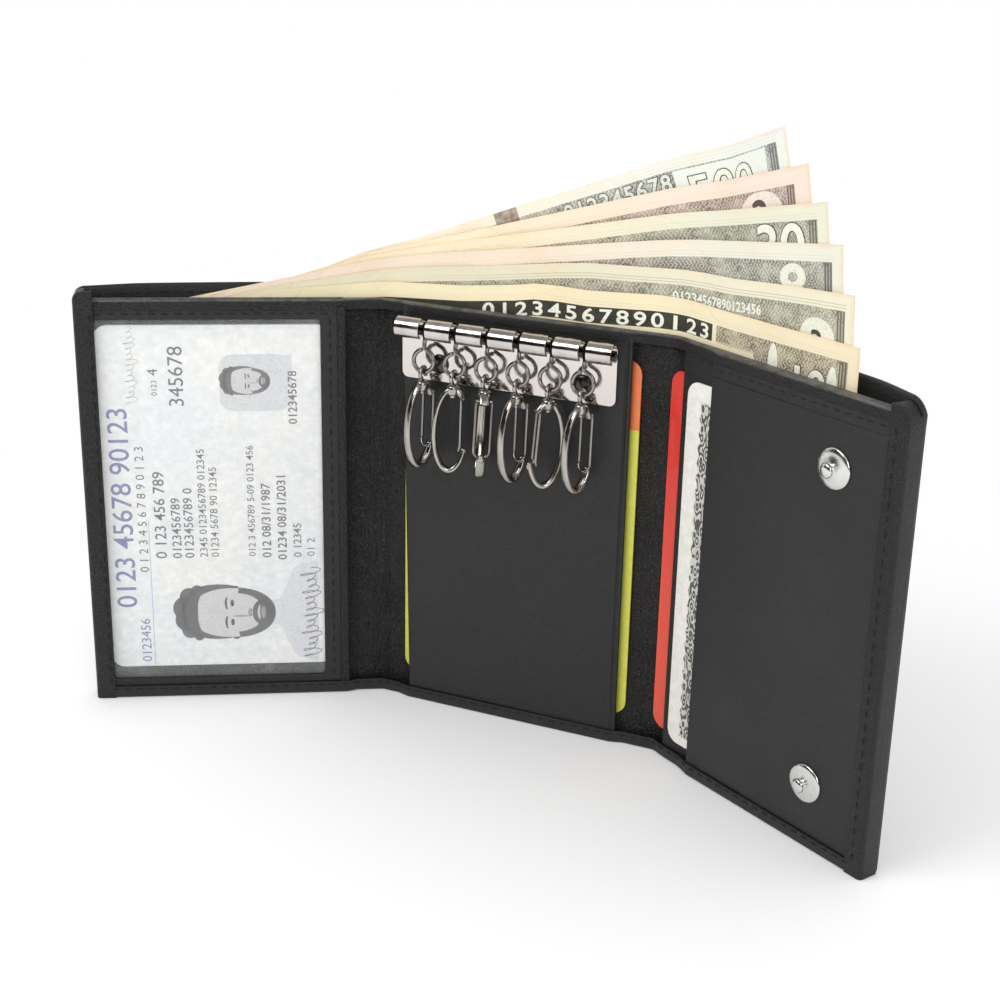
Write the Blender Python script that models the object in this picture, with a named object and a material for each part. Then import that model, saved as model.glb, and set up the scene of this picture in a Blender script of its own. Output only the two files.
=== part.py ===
"""Trifold key wallet, standing open on its bottom edges and filled with cards and notes.

Metres, +Z up. The middle leaf faces -Y, and the origin is the middle of its shell's bottom face.
Two words are used throughout. A "run" is measured along a leaf: from the middle of the middle
leaf, or from the fold line on an end leaf. A "depth" is measured backwards from the front face
of the lining, so what lies in front of the lining has a negative depth.
"""

import math

import bmesh
import bpy
from mathutils import Vector

# Leaves
MIDDLE_WIDTH = 0.0716
LEFT_WIDTH = 0.0700
RIGHT_WIDTH = 0.0667
LINING_HEIGHT = 0.0990
SHELL_RISE = 0.0027
LEFT_REST_DEG = 29.8
RIGHT_REST_DEG = 29.5

# Fold axes stand in front of the lining, so that the closed leaves leave room for the hooks
LEFT_AXIS_FORWARD = 0.0072
RIGHT_AXIS_FORWARD = 0.0125
FOLD_RADIUS = 0.0036
LEFT_FOLD_HALF = 0.0050
RIGHT_FOLD_HALF = 0.0055

# Leather
SHELL_LEATHER = 0.0012
LINING_LEATHER = 0.0008
EDGE_LEATHER = 0.0006
EDGE_HEIGHT = 0.0030
EDGE_WIDTH = 0.0046
EDGE_STEP = 0.0002
BILL_GAP = 0.0021
LAYER_GAP = 0.00015
PIECE_GAP = 0.0003

# The note compartment's mouth bulges backwards above this height
FLARE = 0.0026
FLARE_DROP = 0.0177
FLARE_POWER = 4
LEAN_SHARE = 0.35
FLARE_STEPS = 4

# The note compartment closes towards the two free edges, where shell and lining are sewn together
PINCH_LENGTH = 0.0160
PINCH_GAP = 0.0003
PINCH_STEPS = 5

# Identity-card window on the left leaf
FRAME_LEATHER = 0.0006
FRAME_START = 0.0086
FRAME_SIDE_BAR = 0.0059
FRAME_OUTER_BAR = 0.0034
FRAME_TOP_BAR = 0.0044
FRAME_BOTTOM_BAR = 0.0040
FILM_THICKNESS = 0.0002
FILM_OVERLAP = 0.0030

# Cards
CARD_WIDTH = 0.0540
CARD_HEIGHT = 0.0856
CARD_CORNER = 0.0032
CARD_THICKNESS = 0.00076
THIN_CARD_THICKNESS = 0.0005
CORNER_STEPS = 5
ID_CARD_START = 0.0121
ID_CARD_BOTTOM = 0.0076
LOYALTY_CARD_LEFT_MARGIN = 0.0062
LOYALTY_CARD_RIGHT_MARGIN = 0.0078
LOYALTY_CARD_BOTTOM = 0.0070
RED_CARD_START = 0.0005
RED_CARD_BOTTOM = 0.0064
WHITE_CARD_START = 0.0056
WHITE_CARD_BOTTOM = 0.0056

# Key flap on the middle leaf, with its edges measured from the two fold lines
FLAP_LEATHER = 0.0009
FLAP_LEFT_TOP = 0.0059
FLAP_LEFT_BOTTOM = 0.0080
FLAP_RIGHT = 0.0097

# Card pockets on the right leaf
DIVIDER_LEATHER = 0.0004
DIVIDER_START = 0.0034
POCKET_LEATHER = 0.0006
POCKET_START_TOP = 0.0135
POCKET_START_BOTTOM = 0.0129

# Key bar: a plate rolled into a slotted tube along its top
BAR_LENGTH = 0.0524
BAR_OFFSET = -0.0033
BAR_DROP = 0.0046
TUBE_RADIUS = 0.0025
TUBE_STEPS = 14
TUBE_SWEEP_DEG = 300.0
PLATE_SHEET = 0.0005
PLATE_DROP = 0.0124
PLATE_CORNER = 0.0015
ROD_RADIUS = 0.0005
ROD_END_LENGTH = 0.0010
ROD_STEPS = 10
SLOT_WIDTH = 0.0016
SLOT_BACK = 0.0013
HOOK_OFFSET = -0.0032
HOOK_PITCH = 0.00776
RIVET_PLACES = (-0.0199, 0.0151)
RIVET_DROP = 0.0082
RIVET_HEAD_RADIUS = 0.0023
RIVET_HEAD_HEIGHT = 0.0008
RIVET_SHANK_RADIUS = 0.0008
RIVET_TAIL_RADIUS = 0.0013
RIVET_TAIL_HEIGHT = 0.00015
RIVET_CLEARANCE = 0.00025
HEAD_STEPS = 4

# Hooks: a link on the rod, a swivel eye on the link, a body on the eye and a wire gate.
# Every drop is measured down the chain from the rod.
HOOK_TURNS_DEG = (66.0, 24.0, -62.0, 66.0, 214.0, 62.0)
HOOK_TILT_DEG = 6.5
LOOP_FIRST_DEG = -40.0
LOOP_LAST_DEG = 235.0
LOOP_STEPS = 10
BEND_SHARE = 0.35
WIRE_SIDES = 6
LINK_WIRE = 0.00045
LINK_LOOP_RADIUS = 0.00115
LINK_RING_DROP = 0.00715
LINK_RING_HALF_WIDTH = 0.0025
LINK_RING_HALF_HEIGHT = 0.00255
LINK_RING_FIRST_DEG = 25.0
LINK_RING_LAST_DEG = 338.0
LINK_RING_STEPS = 14
EYE_WIRE = 0.0004
EYE_LOOP_RADIUS = 0.00135
EYE_SEAT = 0.00025
EYE_HEAD_DROP = 0.01415
EYE_HEAD_RADIUS = 0.0008
EYE_HEAD_LENGTH = 0.0006
BODY_CENTRE_DROP = 0.0220
BODY_HALF_WIDTH = 0.00375
BODY_HALF_HEIGHT = 0.0094
BODY_WIRE = 0.00078
BODY_WIRE_SHARES = (1.2, 1.0, 0.95, 0.95, 1.0, 1.05, 1.05, 0.8)
BODY_FIRST_DEG = -42.0
BODY_LAST_DEG = 240.0
BODY_STEPS = 21
BODY_SIDES = 8
BOSS_DROP = 0.0120
BOSS_RADIUS = 0.00145
BOSS_LENGTH = 0.00185
SHANK_CLEARANCE = 0.00025
GATE_WIRE = 0.00035
GATE_PIVOT_DEG = -32.0
GATE_PIN_CLEARANCE = 0.00013
GATE_PIN_START = 0.00045
GATE_HALF_WIDTH = 0.0018
GATE_FOOT_DROP = 0.0252
GATE_FOOT_SIDE = 0.0023
GATE_TIP_SIDE = 0.00185
GATE_STEPS = 6

# Snaps
STUD_MARGIN = 0.0175
STUD_UPPER_DROP = 0.0150
STUD_LOWER_HEIGHT = 0.0145
STUD_LENGTH = 0.0034
STUD_FLANGE_RADIUS = 0.0043
STUD_FLANGE_HEIGHT = 0.0006
STUD_DOME_RADIUS = 0.0026
STUD_NECK_RADIUS = 0.0010
STUD_BALL_RADIUS = 0.0018
STUD_BALL_LENGTH = 0.0022
SOCKET_RADIUS = 0.0044
SOCKET_LENGTH = 0.0018
SOCKET_BEVEL = 0.0006
SOCKET_BORE = 0.0022
EYELET_FLANGE_RADIUS = 0.0037
EYELET_BARREL_RADIUS = 0.0019
EYELET_SHEET = 0.0003
SNAP_HOLE_CLEARANCE = 0.0003
SNAP_STEPS = 20

# Notes, from the back one to the front one: place of the top right corner, its rise and slope
NOTE_LENGTH = 0.1560
NOTE_WIDTH = 0.0663
NOTE_PAPER = 0.00012
NOTE_PITCH = 0.00024
NOTE_FRONT_DEPTH = 0.00095
NOTE_PLACES = (0.0577, 0.0656, 0.0717, 0.0765, 0.0805, 0.0829)
NOTE_RISES = (0.0443, 0.0383, 0.0320, 0.0240, 0.0144, 0.0045)
NOTE_SLOPES_DEG = (21.0, 16.5, 12.5, 8.5, 5.0, 1.5)
NOTE_CELL = 0.0075
NOTE_REACH = 0.1200
LEATHER_STEP = 0.0150

# Colours, as linear red, green and blue
BLACK_LEATHER = (0.036, 0.036, 0.037)
LINING_COLOUR = (0.020, 0.020, 0.021)
NICKEL = (0.62, 0.60, 0.58)
DARK_NICKEL = (0.30, 0.29, 0.28)
FILM_COLOUR = (0.80, 0.82, 0.83)
ID_CARD_COLOUR = (0.80, 0.85, 0.88)
LOYALTY_COLOUR = (0.52, 0.58, 0.08)
RED_COLOUR = (0.58, 0.04, 0.03)
WHITE_COLOUR = (0.72, 0.69, 0.64)
PAPER_COLOUR = (0.82, 0.80, 0.68)

HALF_MIDDLE = MIDDLE_WIDTH / 2
SHELL_HEIGHT = LINING_HEIGHT + SHELL_RISE
FLARE_START = SHELL_HEIGHT - FLARE_DROP
BAR_HEIGHT = LINING_HEIGHT - BAR_DROP
STUD_RUN = RIGHT_WIDTH - STUD_MARGIN
STUD_HEIGHTS = (LINING_HEIGHT - STUD_UPPER_DROP, STUD_LOWER_HEIGHT)
LINING_BACK = LINING_LEATHER
SHELL_FRONT = LINING_LEATHER + BILL_GAP
SHELL_BACK = SHELL_FRONT + SHELL_LEATHER
LINING_FRONT_Y = -(SHELL_FRONT + SHELL_LEATHER / 2)
INNER_BOTTOM = EDGE_LEATHER + PIECE_GAP


def stacked(*thicknesses):
    """Front and back depth of each layer laid on the front of the lining, the nearest first."""
    layers = []
    depth = 0.0
    for thickness in thicknesses:
        depth -= LAYER_GAP
        layers.append((depth - thickness, depth))
        depth -= thickness
    return layers


ID_CARD_LAYER, FILM_LAYER, FRAME_LAYER = stacked(CARD_THICKNESS, FILM_THICKNESS, FRAME_LEATHER)
LOYALTY_ROOM, FLAP_LAYER, PLATE_LAYER = stacked(CARD_THICKNESS, FLAP_LEATHER, PLATE_SHEET)
LOYALTY_LAYER = (LOYALTY_ROOM[1] - THIN_CARD_THICKNESS, LOYALTY_ROOM[1])
RED_LAYER, DIVIDER_LAYER, WHITE_LAYER, POCKET_LAYER = stacked(
    THIN_CARD_THICKNESS, DIVIDER_LEATHER, THIN_CARD_THICKNESS, POCKET_LEATHER
)


def material(name, colour, roughness, metallic=0.0, alpha=1.0):
    """A Principled material of one colour."""
    made = bpy.data.materials.new(name)
    made.use_nodes = True
    shader = made.node_tree.nodes["Principled BSDF"]
    shader.inputs["Base Color"].default_value = (*colour, 1.0)
    shader.inputs["Roughness"].default_value = roughness
    shader.inputs["Metallic"].default_value = metallic
    shader.inputs["Alpha"].default_value = alpha
    return made


def loft(loops, ring=False):
    """Points and faces of a solid through closed loops of equal length, capped unless it is a ring."""
    count = len(loops[0])
    points = [point for loop in loops for point in loop]
    faces = []
    for k in range(len(loops) if ring else len(loops) - 1):
        here = k * count
        there = (k + 1) % len(loops) * count
        for i in range(count):
            j = (i + 1) % count
            faces.append((here + i, here + j, there + j, there + i))
    if not ring:
        last = (len(loops) - 1) * count
        faces.append(tuple(range(count)))
        faces.append(tuple(range(last, last + count)))
    return points, faces


def add_solid(name, shape, finish, parent=None, smooth=False):
    """An object from points and faces, with its faces turned outwards."""
    mesh = bpy.data.meshes.new(name)
    mesh.from_pydata(shape[0], [], shape[1])
    edit = bmesh.new()
    edit.from_mesh(mesh)
    bmesh.ops.recalc_face_normals(edit, faces=edit.faces)
    edit.to_mesh(mesh)
    edit.free()
    if smooth:
        mesh.shade_smooth()
        mesh.set_sharp_from_angle(angle=math.radians(40.0))
    mesh.materials.append(finish)
    made = bpy.data.objects.new(name, mesh)
    made.parent = parent
    bpy.context.scene.collection.objects.link(made)
    return made


def add_empty(name, place, turn_deg=0.0):
    """An empty that stands on a joint axis and carries what turns about it."""
    made = bpy.data.objects.new(name, None)
    made.location = place
    made.rotation_euler = (0.0, 0.0, math.radians(turn_deg))
    bpy.context.scene.collection.objects.link(made)
    return made


def add_boolean(target, cutter, operation="DIFFERENCE"):
    """Cuts the target with the cutter, or joins the two, and keeps the cutter out of the build."""
    modifier = target.modifiers.new(cutter.name, "BOOLEAN")
    modifier.operation = operation
    modifier.solver = "EXACT"
    modifier.object = cutter
    cutter.hide_render = True
    cutter.display_type = "WIRE"


def fixed_mesh(made):
    """The object's mesh with its modifiers worked in, for pieces that share one mesh."""
    bpy.context.view_layer.update()
    graph = bpy.context.evaluated_depsgraph_get()
    return bpy.data.meshes.new_from_object(made.evaluated_get(graph))


class Leaf:
    """A leaf of the wallet, laid flat in the frame of its fold axis."""

    def __init__(self, side, width, rest_deg, forward):
        rest = math.radians(rest_deg)
        self.side = side
        self.width = width
        self.forward = forward
        self.foot = forward * math.tan(rest / 2)
        axis_x = side * (HALF_MIDDLE - self.foot)
        name = "left_fold_axis" if side < 0 else "right_fold_axis"
        self.parent = add_empty(name, (axis_x, LINING_FRONT_Y - forward, 0.0), -side * rest_deg)

    def place(self, run, depth, height):
        return (self.side * (run - self.foot), self.forward + depth, height)

    def along(self, run):
        return self.side * (HALF_MIDDLE + run)


class MiddleLeaf:
    """The middle leaf, which stays in the row's frame."""

    side = 1
    parent = None

    def place(self, run, depth, height):
        return (run, LINING_FRONT_Y + depth, height)

    def along(self, run):
        return run


def fold_place(along, depth, height):
    """A place on the bent wallet. along runs from the middle through both fold lines."""
    side = math.copysign(1.0, along)
    rest = math.radians(RIGHT_REST_DEG if along > 0 else LEFT_REST_DEG)
    tangent = FOLD_RADIUS * math.tan(rest / 2)
    past = abs(along) - (HALF_MIDDLE - tangent)
    if past <= 0:
        x, y = abs(along), depth
    elif past < 2 * tangent:
        angle = rest * past / (2 * tangent)
        x = HALF_MIDDLE - tangent + (FOLD_RADIUS + depth) * math.sin(angle)
        y = (FOLD_RADIUS + depth) * math.cos(angle) - FOLD_RADIUS
    else:
        run = abs(along) - HALF_MIDDLE
        x = HALF_MIDDLE + run * math.cos(rest) + depth * math.sin(rest)
        y = depth * math.cos(rest) - run * math.sin(rest)
    return (side * x, LINING_FRONT_Y + y, height)


def fold_stations(side):
    """Where the bent wallet's surfaces change direction at one fold."""
    rest = math.radians(RIGHT_REST_DEG if side > 0 else LEFT_REST_DEG)
    tangent = FOLD_RADIUS * math.tan(rest / 2)
    return [side * (HALF_MIDDLE + tangent * share) for share in (-1.0, -0.5, 0.0, 0.5, 1.0)]


def lift(height):
    """Share of the mouth's bulge at a height: a parabola to the shell's top, then a straight lean."""
    share = max(0.0, (height - FLARE_START) / (SHELL_HEIGHT - FLARE_START))
    if share <= 1.0:
        return share**2
    return 1.0 + 2.0 * LEAN_SHARE * (share - 1.0)


def bulge(along, height):
    """How far the shell stands back from its flat place. It is nothing at the two outer edges."""
    centre = (RIGHT_WIDTH - LEFT_WIDTH) / 2
    half_span = HALF_MIDDLE + (RIGHT_WIDTH + LEFT_WIDTH) / 2
    share = min(1.0, abs(along - centre) / half_span)
    return FLARE * (1.0 - share**FLARE_POWER) * lift(height)


def pinch(along):
    """How far the shell comes forward near a free edge: a smooth step over the pinched length."""
    width = RIGHT_WIDTH if along > 0 else LEFT_WIDTH
    share = 1.0 - (HALF_MIDDLE + width - abs(along)) / PINCH_LENGTH
    share = min(1.0, max(0.0, share))
    return (BILL_GAP - PINCH_GAP) * share**2 * (3.0 - 2.0 * share)


def flare_heights():
    rise = SHELL_HEIGHT - FLARE_START
    return [FLARE_START + rise * k / FLARE_STEPS for k in range(FLARE_STEPS + 1)]


def shell_section(place, run, along, front_depth):
    """A J in depth and height: back leather, bottom wall and the turned edge in front."""
    edge_back = front_depth - LAYER_GAP
    edge_front = edge_back - EDGE_LEATHER
    back, front = SHELL_BACK - pinch(along), SHELL_FRONT - pinch(along)
    profile = [(edge_front, EDGE_HEIGHT), (edge_front, 0.0), (back, 0.0)]
    for height in flare_heights():
        profile.append((back + bulge(along, height), height))
    for height in reversed(flare_heights()):
        profile.append((front + bulge(along, height), height))
    profile += [(front, EDGE_LEATHER), (edge_back, EDGE_LEATHER), (edge_back, EDGE_HEIGHT)]
    return [place(run, depth, height) for depth, height in profile]


def spaced(first, last, step):
    """Even steps from first to last, none longer than the one given."""
    count = max(1, math.ceil(abs(last - first) / step))
    return [first + (last - first) * k / count for k in range(count + 1)]


def add_shell(name, leaf, runs, front_depth, finish):
    """The back leather of a leaf through the given runs, with its turned bottom edge."""
    loops = [shell_section(leaf.place, run, leaf.along(run), front_depth) for run in runs]
    return add_solid(name, loft(loops), finish, leaf.parent)


def add_side_edge(name, leaf, front_depth, finish):
    """The turned edge up the free side of an end leaf, as a body to join to its shell."""
    edge_back = front_depth - LAYER_GAP - EDGE_STEP
    edge_front = edge_back - EDGE_LEATHER
    outer = leaf.width
    inner = outer - EDGE_LEATHER
    back = SHELL_BACK - pinch(leaf.along(outer)) - EDGE_STEP
    outline = [
        (outer, edge_front),
        (outer, back),
        (inner, back),
        (inner, edge_back),
        (outer - EDGE_WIDTH, edge_back),
        (outer - EDGE_WIDTH, edge_front),
    ]
    loops = [
        [leaf.place(run, depth, height) for run, depth in outline]
        for height in (EDGE_STEP, LINING_HEIGHT)
    ]
    return add_solid(name, loft(loops), finish, leaf.parent)


def add_end_shell(name, leaf, fold_half, front_depth, finish):
    """The shell of an end leaf: its back leather joined to its turned side edge."""
    last = leaf.width - EDGE_LEATHER / 2
    pinched = leaf.width - PINCH_LENGTH
    runs = spaced(fold_half + PIECE_GAP / 2, pinched, LEATHER_STEP)
    runs += spaced(pinched, last, PINCH_LENGTH / PINCH_STEPS)[1:]
    shell = add_shell(name, leaf, runs, front_depth, finish)
    side = add_side_edge(name + "_side", leaf, front_depth, finish)
    add_boolean(shell, side, "UNION")
    return shell


def add_fold(name, side, fold_half, section, finish):
    """A bent stretch of leather across one fold. section gives its loop at a place along."""
    inner = HALF_MIDDLE - fold_half + PIECE_GAP / 2
    outer = HALF_MIDDLE + fold_half - PIECE_GAP / 2
    stations = [side * inner, *fold_stations(side), side * outer]
    loops = [section(along) for along in stations]
    return add_solid(name, loft(loops), finish, smooth=True)


def outer_fold_section(front_depth):
    return lambda along: shell_section(fold_place, along, along, front_depth)


def lining_section(along):
    corners = [
        (0.0, INNER_BOTTOM),
        (LINING_BACK, INNER_BOTTOM),
        (LINING_BACK, LINING_HEIGHT),
        (0.0, LINING_HEIGHT),
    ]
    return [fold_place(along, depth, height) for depth, height in corners]


def rounded_outline(left, right, bottom, top, radius):
    """A rectangle with round corners, anticlockwise, as run and height."""
    if radius <= 0:
        return [(right, bottom), (right, top), (left, top), (left, bottom)]
    centres = [
        (right - radius, bottom + radius, -90),
        (right - radius, top - radius, 0),
        (left + radius, top - radius, 90),
        (left + radius, bottom + radius, 180),
    ]
    outline = []
    for centre_run, centre_height, start in centres:
        for k in range(CORNER_STEPS + 1):
            angle = math.radians(start + 90 * k / CORNER_STEPS)
            run = centre_run + radius * math.cos(angle)
            outline.append((run, centre_height + radius * math.sin(angle)))
    return outline


def add_plate(name, leaf, outline, layer, finish):
    """A flat sheet: an outline in run and height between two depths."""
    loops = [[leaf.place(run, depth, height) for run, height in outline] for depth in layer]
    return add_solid(name, loft(loops), finish, leaf.parent)


def add_lining(name, leaf, first, last, finish):
    outline = rounded_outline(first, last, INNER_BOTTOM, LINING_HEIGHT, 0.0)
    return add_plate(name, leaf, outline, (0.0, LINING_BACK), finish)


def add_frame(name, leaf, finish):
    """The window's leather frame: a rectangular section carried round four mitred corners."""
    outer = rounded_outline(
        FRAME_START, leaf.width - EDGE_LEATHER - PIECE_GAP, INNER_BOTTOM, LINING_HEIGHT, 0.0
    )
    inner = rounded_outline(
        FRAME_START + FRAME_SIDE_BAR,
        leaf.width - EDGE_LEATHER - PIECE_GAP - FRAME_OUTER_BAR,
        INNER_BOTTOM + FRAME_BOTTOM_BAR,
        LINING_HEIGHT - FRAME_TOP_BAR,
        0.0,
    )
    front, back = FRAME_LAYER
    loops = []
    for (run, height), (inner_run, inner_height) in zip(outer, inner):
        section = [(run, front, height), (inner_run, front, inner_height)]
        section += [(inner_run, back, inner_height), (run, back, height)]
        loops.append([leaf.place(*corner) for corner in section])
    return add_solid(name, loft(loops, ring=True), finish, leaf.parent)


def card_outline(left, bottom, width=CARD_WIDTH):
    return rounded_outline(left, left + width, bottom, bottom + CARD_HEIGHT, CARD_CORNER)


def turned(profile, steps, axis="Y", ring=False):
    """A solid turned about an axis from radius and position pairs. A ring's profile is closed."""
    order = {"X": (2, 0, 1), "Y": (0, 2, 1), "Z": (0, 1, 2)}[axis]
    angles = [math.tau * k / steps for k in range(steps)]

    def place(radius, position, angle):
        flat = (radius * math.cos(angle), radius * math.sin(angle), position)
        return tuple(flat[k] for k in order)

    if ring:
        return loft([[place(r, p, angle) for r, p in profile] for angle in angles], ring=True)
    return loft([[place(r, p, angle) for angle in angles] for r, p in profile])


def joined(shapes):
    """Several shapes as one, for a cutter in several pieces."""
    points, faces = [], []
    for shape_points, shape_faces in shapes:
        base = len(points)
        points += shape_points
        faces += [tuple(base + k for k in face) for face in shape_faces]
    return points, faces


def moved(shape, offset):
    return [tuple(a + b for a, b in zip(point, offset)) for point in shape[0]], shape[1]


def wire(path, radii, sides):
    """A round wire through points. Its cross-section is carried along without twisting."""
    points = [Vector(point) for point in path]
    steps = [(after - before).normalized() for before, after in zip(points, points[1:])]
    heading = steps[0]
    across = heading.orthogonal().normalized()
    loops = []
    for k, (point, radius) in enumerate(zip(points, radii)):
        ahead = (steps[max(k - 1, 0)] + steps[min(k, len(steps) - 1)]).normalized()
        across = heading.rotation_difference(ahead) @ across
        heading = ahead
        other = heading.cross(across)
        loop = []
        for i in range(sides):
            angle = math.tau * i / sides
            offset = across * (radius * math.cos(angle)) + other * (radius * math.sin(angle))
            loop.append(tuple(point + offset))
        loops.append(loop)
    return loft(loops)


def bend(before, corner, after):
    """Two points that round off a corner of a path by the same length each way."""
    before, corner, after = Vector(before), Vector(corner), Vector(after)
    length = BEND_SHARE * min((before - corner).length, (after - corner).length)
    return [
        tuple(corner + (before - corner).normalized() * length),
        tuple(corner + (after - corner).normalized() * length),
    ]


def degrees_between(first, last, steps):
    return [math.radians(first + (last - first) * k / steps) for k in range(steps + 1)]


def loop_path(radius, centre_height):
    """A loop in the YZ plane, and the corner below it where its wire turns down the shank."""
    path = []
    for angle in degrees_between(LOOP_FIRST_DEG, LOOP_LAST_DEG, LOOP_STEPS):
        path.append((0.0, radius * math.cos(angle), centre_height + radius * math.sin(angle)))
    corner = (0.0, 0.0, centre_height + radius / math.sin(math.radians(LOOP_LAST_DEG)))
    return path, corner


def link_shape():
    """One bent wire: a loop round the rod, a short shank and an oval ring across it."""
    loop, lower = loop_path(LINK_LOOP_RADIUS, 0.0)
    ring = []
    for angle in degrees_between(LINK_RING_FIRST_DEG, LINK_RING_LAST_DEG, LINK_RING_STEPS):
        height = LINK_RING_HALF_HEIGHT * math.cos(angle) - LINK_RING_DROP
        ring.append((LINK_RING_HALF_WIDTH * math.sin(angle), 0.0, height))
    rise = LINK_RING_HALF_HEIGHT / math.cos(math.radians(LINK_RING_FIRST_DEG))
    upper = (0.0, 0.0, rise - LINK_RING_DROP)
    path = loop + bend(loop[-1], lower, upper) + bend(lower, upper, ring[0]) + ring
    return wire(path, [LINK_WIRE] * len(path), WIRE_SIDES)


def eye_shape():
    """One bent wire: a loop through the link's ring and a shank with a head."""
    loop, lower = loop_path(EYE_LOOP_RADIUS, -EYE_SEAT)
    hang = LINK_RING_DROP + LINK_RING_HALF_HEIGHT
    head = hang - EYE_HEAD_DROP
    shank_end = (0.0, 0.0, head + EYE_SEAT / 2)
    path = loop + bend(loop[-1], lower, shank_end) + [shank_end]
    radii = [EYE_WIRE] * len(path) + [EYE_HEAD_RADIUS] * 2
    path += [(0.0, 0.0, head), (0.0, 0.0, head - EYE_HEAD_LENGTH)]
    return wire(path, radii, BODY_SIDES)


def body_point(degrees):
    """A place on the hook's oval: across it, and its height from the top of the boss."""
    angle = math.radians(degrees)
    side = -BODY_HALF_WIDTH * math.sin(angle)
    return side, BOSS_DROP - BODY_CENTRE_DROP + BODY_HALF_HEIGHT * math.cos(angle)


def share_at(shares, place):
    """A value between the listed ones, for a place from 0 to 1 along the list."""
    spot = place * (len(shares) - 1)
    k = min(int(spot), len(shares) - 2)
    return shares[k] + (shares[k + 1] - shares[k]) * (spot - k)


def body_mesh(finish):
    """The hook's body: an open oval with a boss for the swivel, and holes for the gate's pins."""
    path, radii = [], []
    for k in range(BODY_STEPS + 1):
        place = k / BODY_STEPS
        side, height = body_point(BODY_FIRST_DEG + (BODY_LAST_DEG - BODY_FIRST_DEG) * place)
        path.append((side, 0.0, height))
        radii.append(BODY_WIRE * share_at(BODY_WIRE_SHARES, place))
    body = add_solid("hook_body_form", wire(path, radii, BODY_SIDES), finish, smooth=True)
    boss_profile = [(BOSS_RADIUS, -BOSS_LENGTH), (BOSS_RADIUS, 0.0)]
    boss = add_solid("hook_boss", turned(boss_profile, BODY_SIDES, "Z"), finish)
    hole_radius = EYE_WIRE + SHANK_CLEARANCE
    hole_profile = [(hole_radius, -BOSS_LENGTH - BODY_WIRE), (hole_radius, BODY_WIRE)]
    bore = add_solid("hook_bore", turned(hole_profile, BODY_SIDES, "Z"), None)
    pivot_side, pivot_height = body_point(GATE_PIVOT_DEG)
    pin_radius = GATE_WIRE + GATE_PIN_CLEARANCE
    pin_profile = [(pin_radius, -GATE_HALF_WIDTH), (pin_radius, GATE_HALF_WIDTH)]
    pin_hole = add_solid("hook_pin_hole", turned(pin_profile, WIRE_SIDES), None)
    pin_hole.location = (pivot_side, 0.0, pivot_height)
    add_boolean(body, boss, "UNION")
    add_boolean(body, bore)
    add_boolean(body, pin_hole)
    mesh = fixed_mesh(body)
    mesh.name = "hook_body"
    for form in (body, boss, bore, pin_hole):
        bpy.data.objects.remove(form, do_unlink=True)
    return mesh


def gate_shape():
    """A U of wire from its pivot: a pin each side, two legs past the nose and a round end inside it."""
    pivot_side, pivot_height = body_point(GATE_PIVOT_DEG)
    foot = BOSS_DROP - GATE_FOOT_DROP - pivot_height
    foot_side = GATE_FOOT_SIDE - pivot_side
    tip_side = GATE_TIP_SIDE - pivot_side
    width = GATE_HALF_WIDTH
    half = [
        (0.0, GATE_PIN_START, 0.0),
        (0.0, width - GATE_WIRE, 0.0),
        (0.0, width, -GATE_WIRE),
        (foot_side, width, foot),
    ]
    arc = []
    for k in range(1, GATE_STEPS):
        angle = math.pi * k / GATE_STEPS
        side = foot_side + (tip_side - foot_side) * math.sin(angle)
        arc.append((side, width * math.cos(angle), foot - width * math.sin(angle)))
    other = [(side, -across, height) for side, across, height in reversed(half)]
    path = half + arc + other
    return wire(path, [GATE_WIRE] * len(path), WIRE_SIDES)


def shared_object(name, mesh, parent, place, turn=(0.0, 0.0, 0.0)):
    made = bpy.data.objects.new(name, mesh)
    made.parent = parent
    made.location = place
    made.rotation_euler = turn
    bpy.context.scene.collection.objects.link(made)
    return made


def bar_depth():
    """Depth of the rod: the tube's back is the plate's back."""
    return PLATE_LAYER[1] - TUBE_RADIUS


def add_hooks(nickel, dark_nickel):
    """Six equal hooks on the rod, each swivelled to its own angle."""
    forms = {
        "link": (link_shape(), dark_nickel),
        "eye": (eye_shape(), nickel),
        "gate": (gate_shape(), dark_nickel),
    }
    meshes = {"body": body_mesh(nickel)}
    for kind, (shape, finish) in forms.items():
        form = add_solid("hook_" + kind, shape, finish, smooth=True)
        meshes[kind] = form.data
        bpy.data.objects.remove(form, do_unlink=True)
    hang = LINK_RING_DROP + LINK_RING_HALF_HEIGHT
    pivot_side, pivot_height = body_point(GATE_PIVOT_DEG)
    tilt = math.radians(-HOOK_TILT_DEG)
    for k, turn_deg in enumerate(HOOK_TURNS_DEG):
        number = str(k + 1)
        across = HOOK_OFFSET + HOOK_PITCH * (k - (len(HOOK_TURNS_DEG) - 1) / 2)
        place = (across, LINING_FRONT_Y + bar_depth(), BAR_HEIGHT)
        link = shared_object("hook_link_" + number, meshes["link"], None, place, (tilt, 0.0, 0.0))
        eye = shared_object("hook_eye_" + number, meshes["eye"], link, (0.0, 0.0, -hang))
        turn = (0.0, 0.0, math.radians(turn_deg))
        below = (0.0, 0.0, hang - BOSS_DROP)
        body = shared_object("hook_body_" + number, meshes["body"], eye, below, turn)
        pivot = (pivot_side, 0.0, pivot_height)
        shared_object("hook_gate_" + number, meshes["gate"], body, pivot)


def box(first, last):
    """A box between two opposite corners."""
    (x0, y0, z0), (x1, y1, z1) = first, last
    return loft([[(x, y0, z0), (x, y1, z0), (x, y1, z1), (x, y0, z1)] for x in (x0, x1)])


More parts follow.
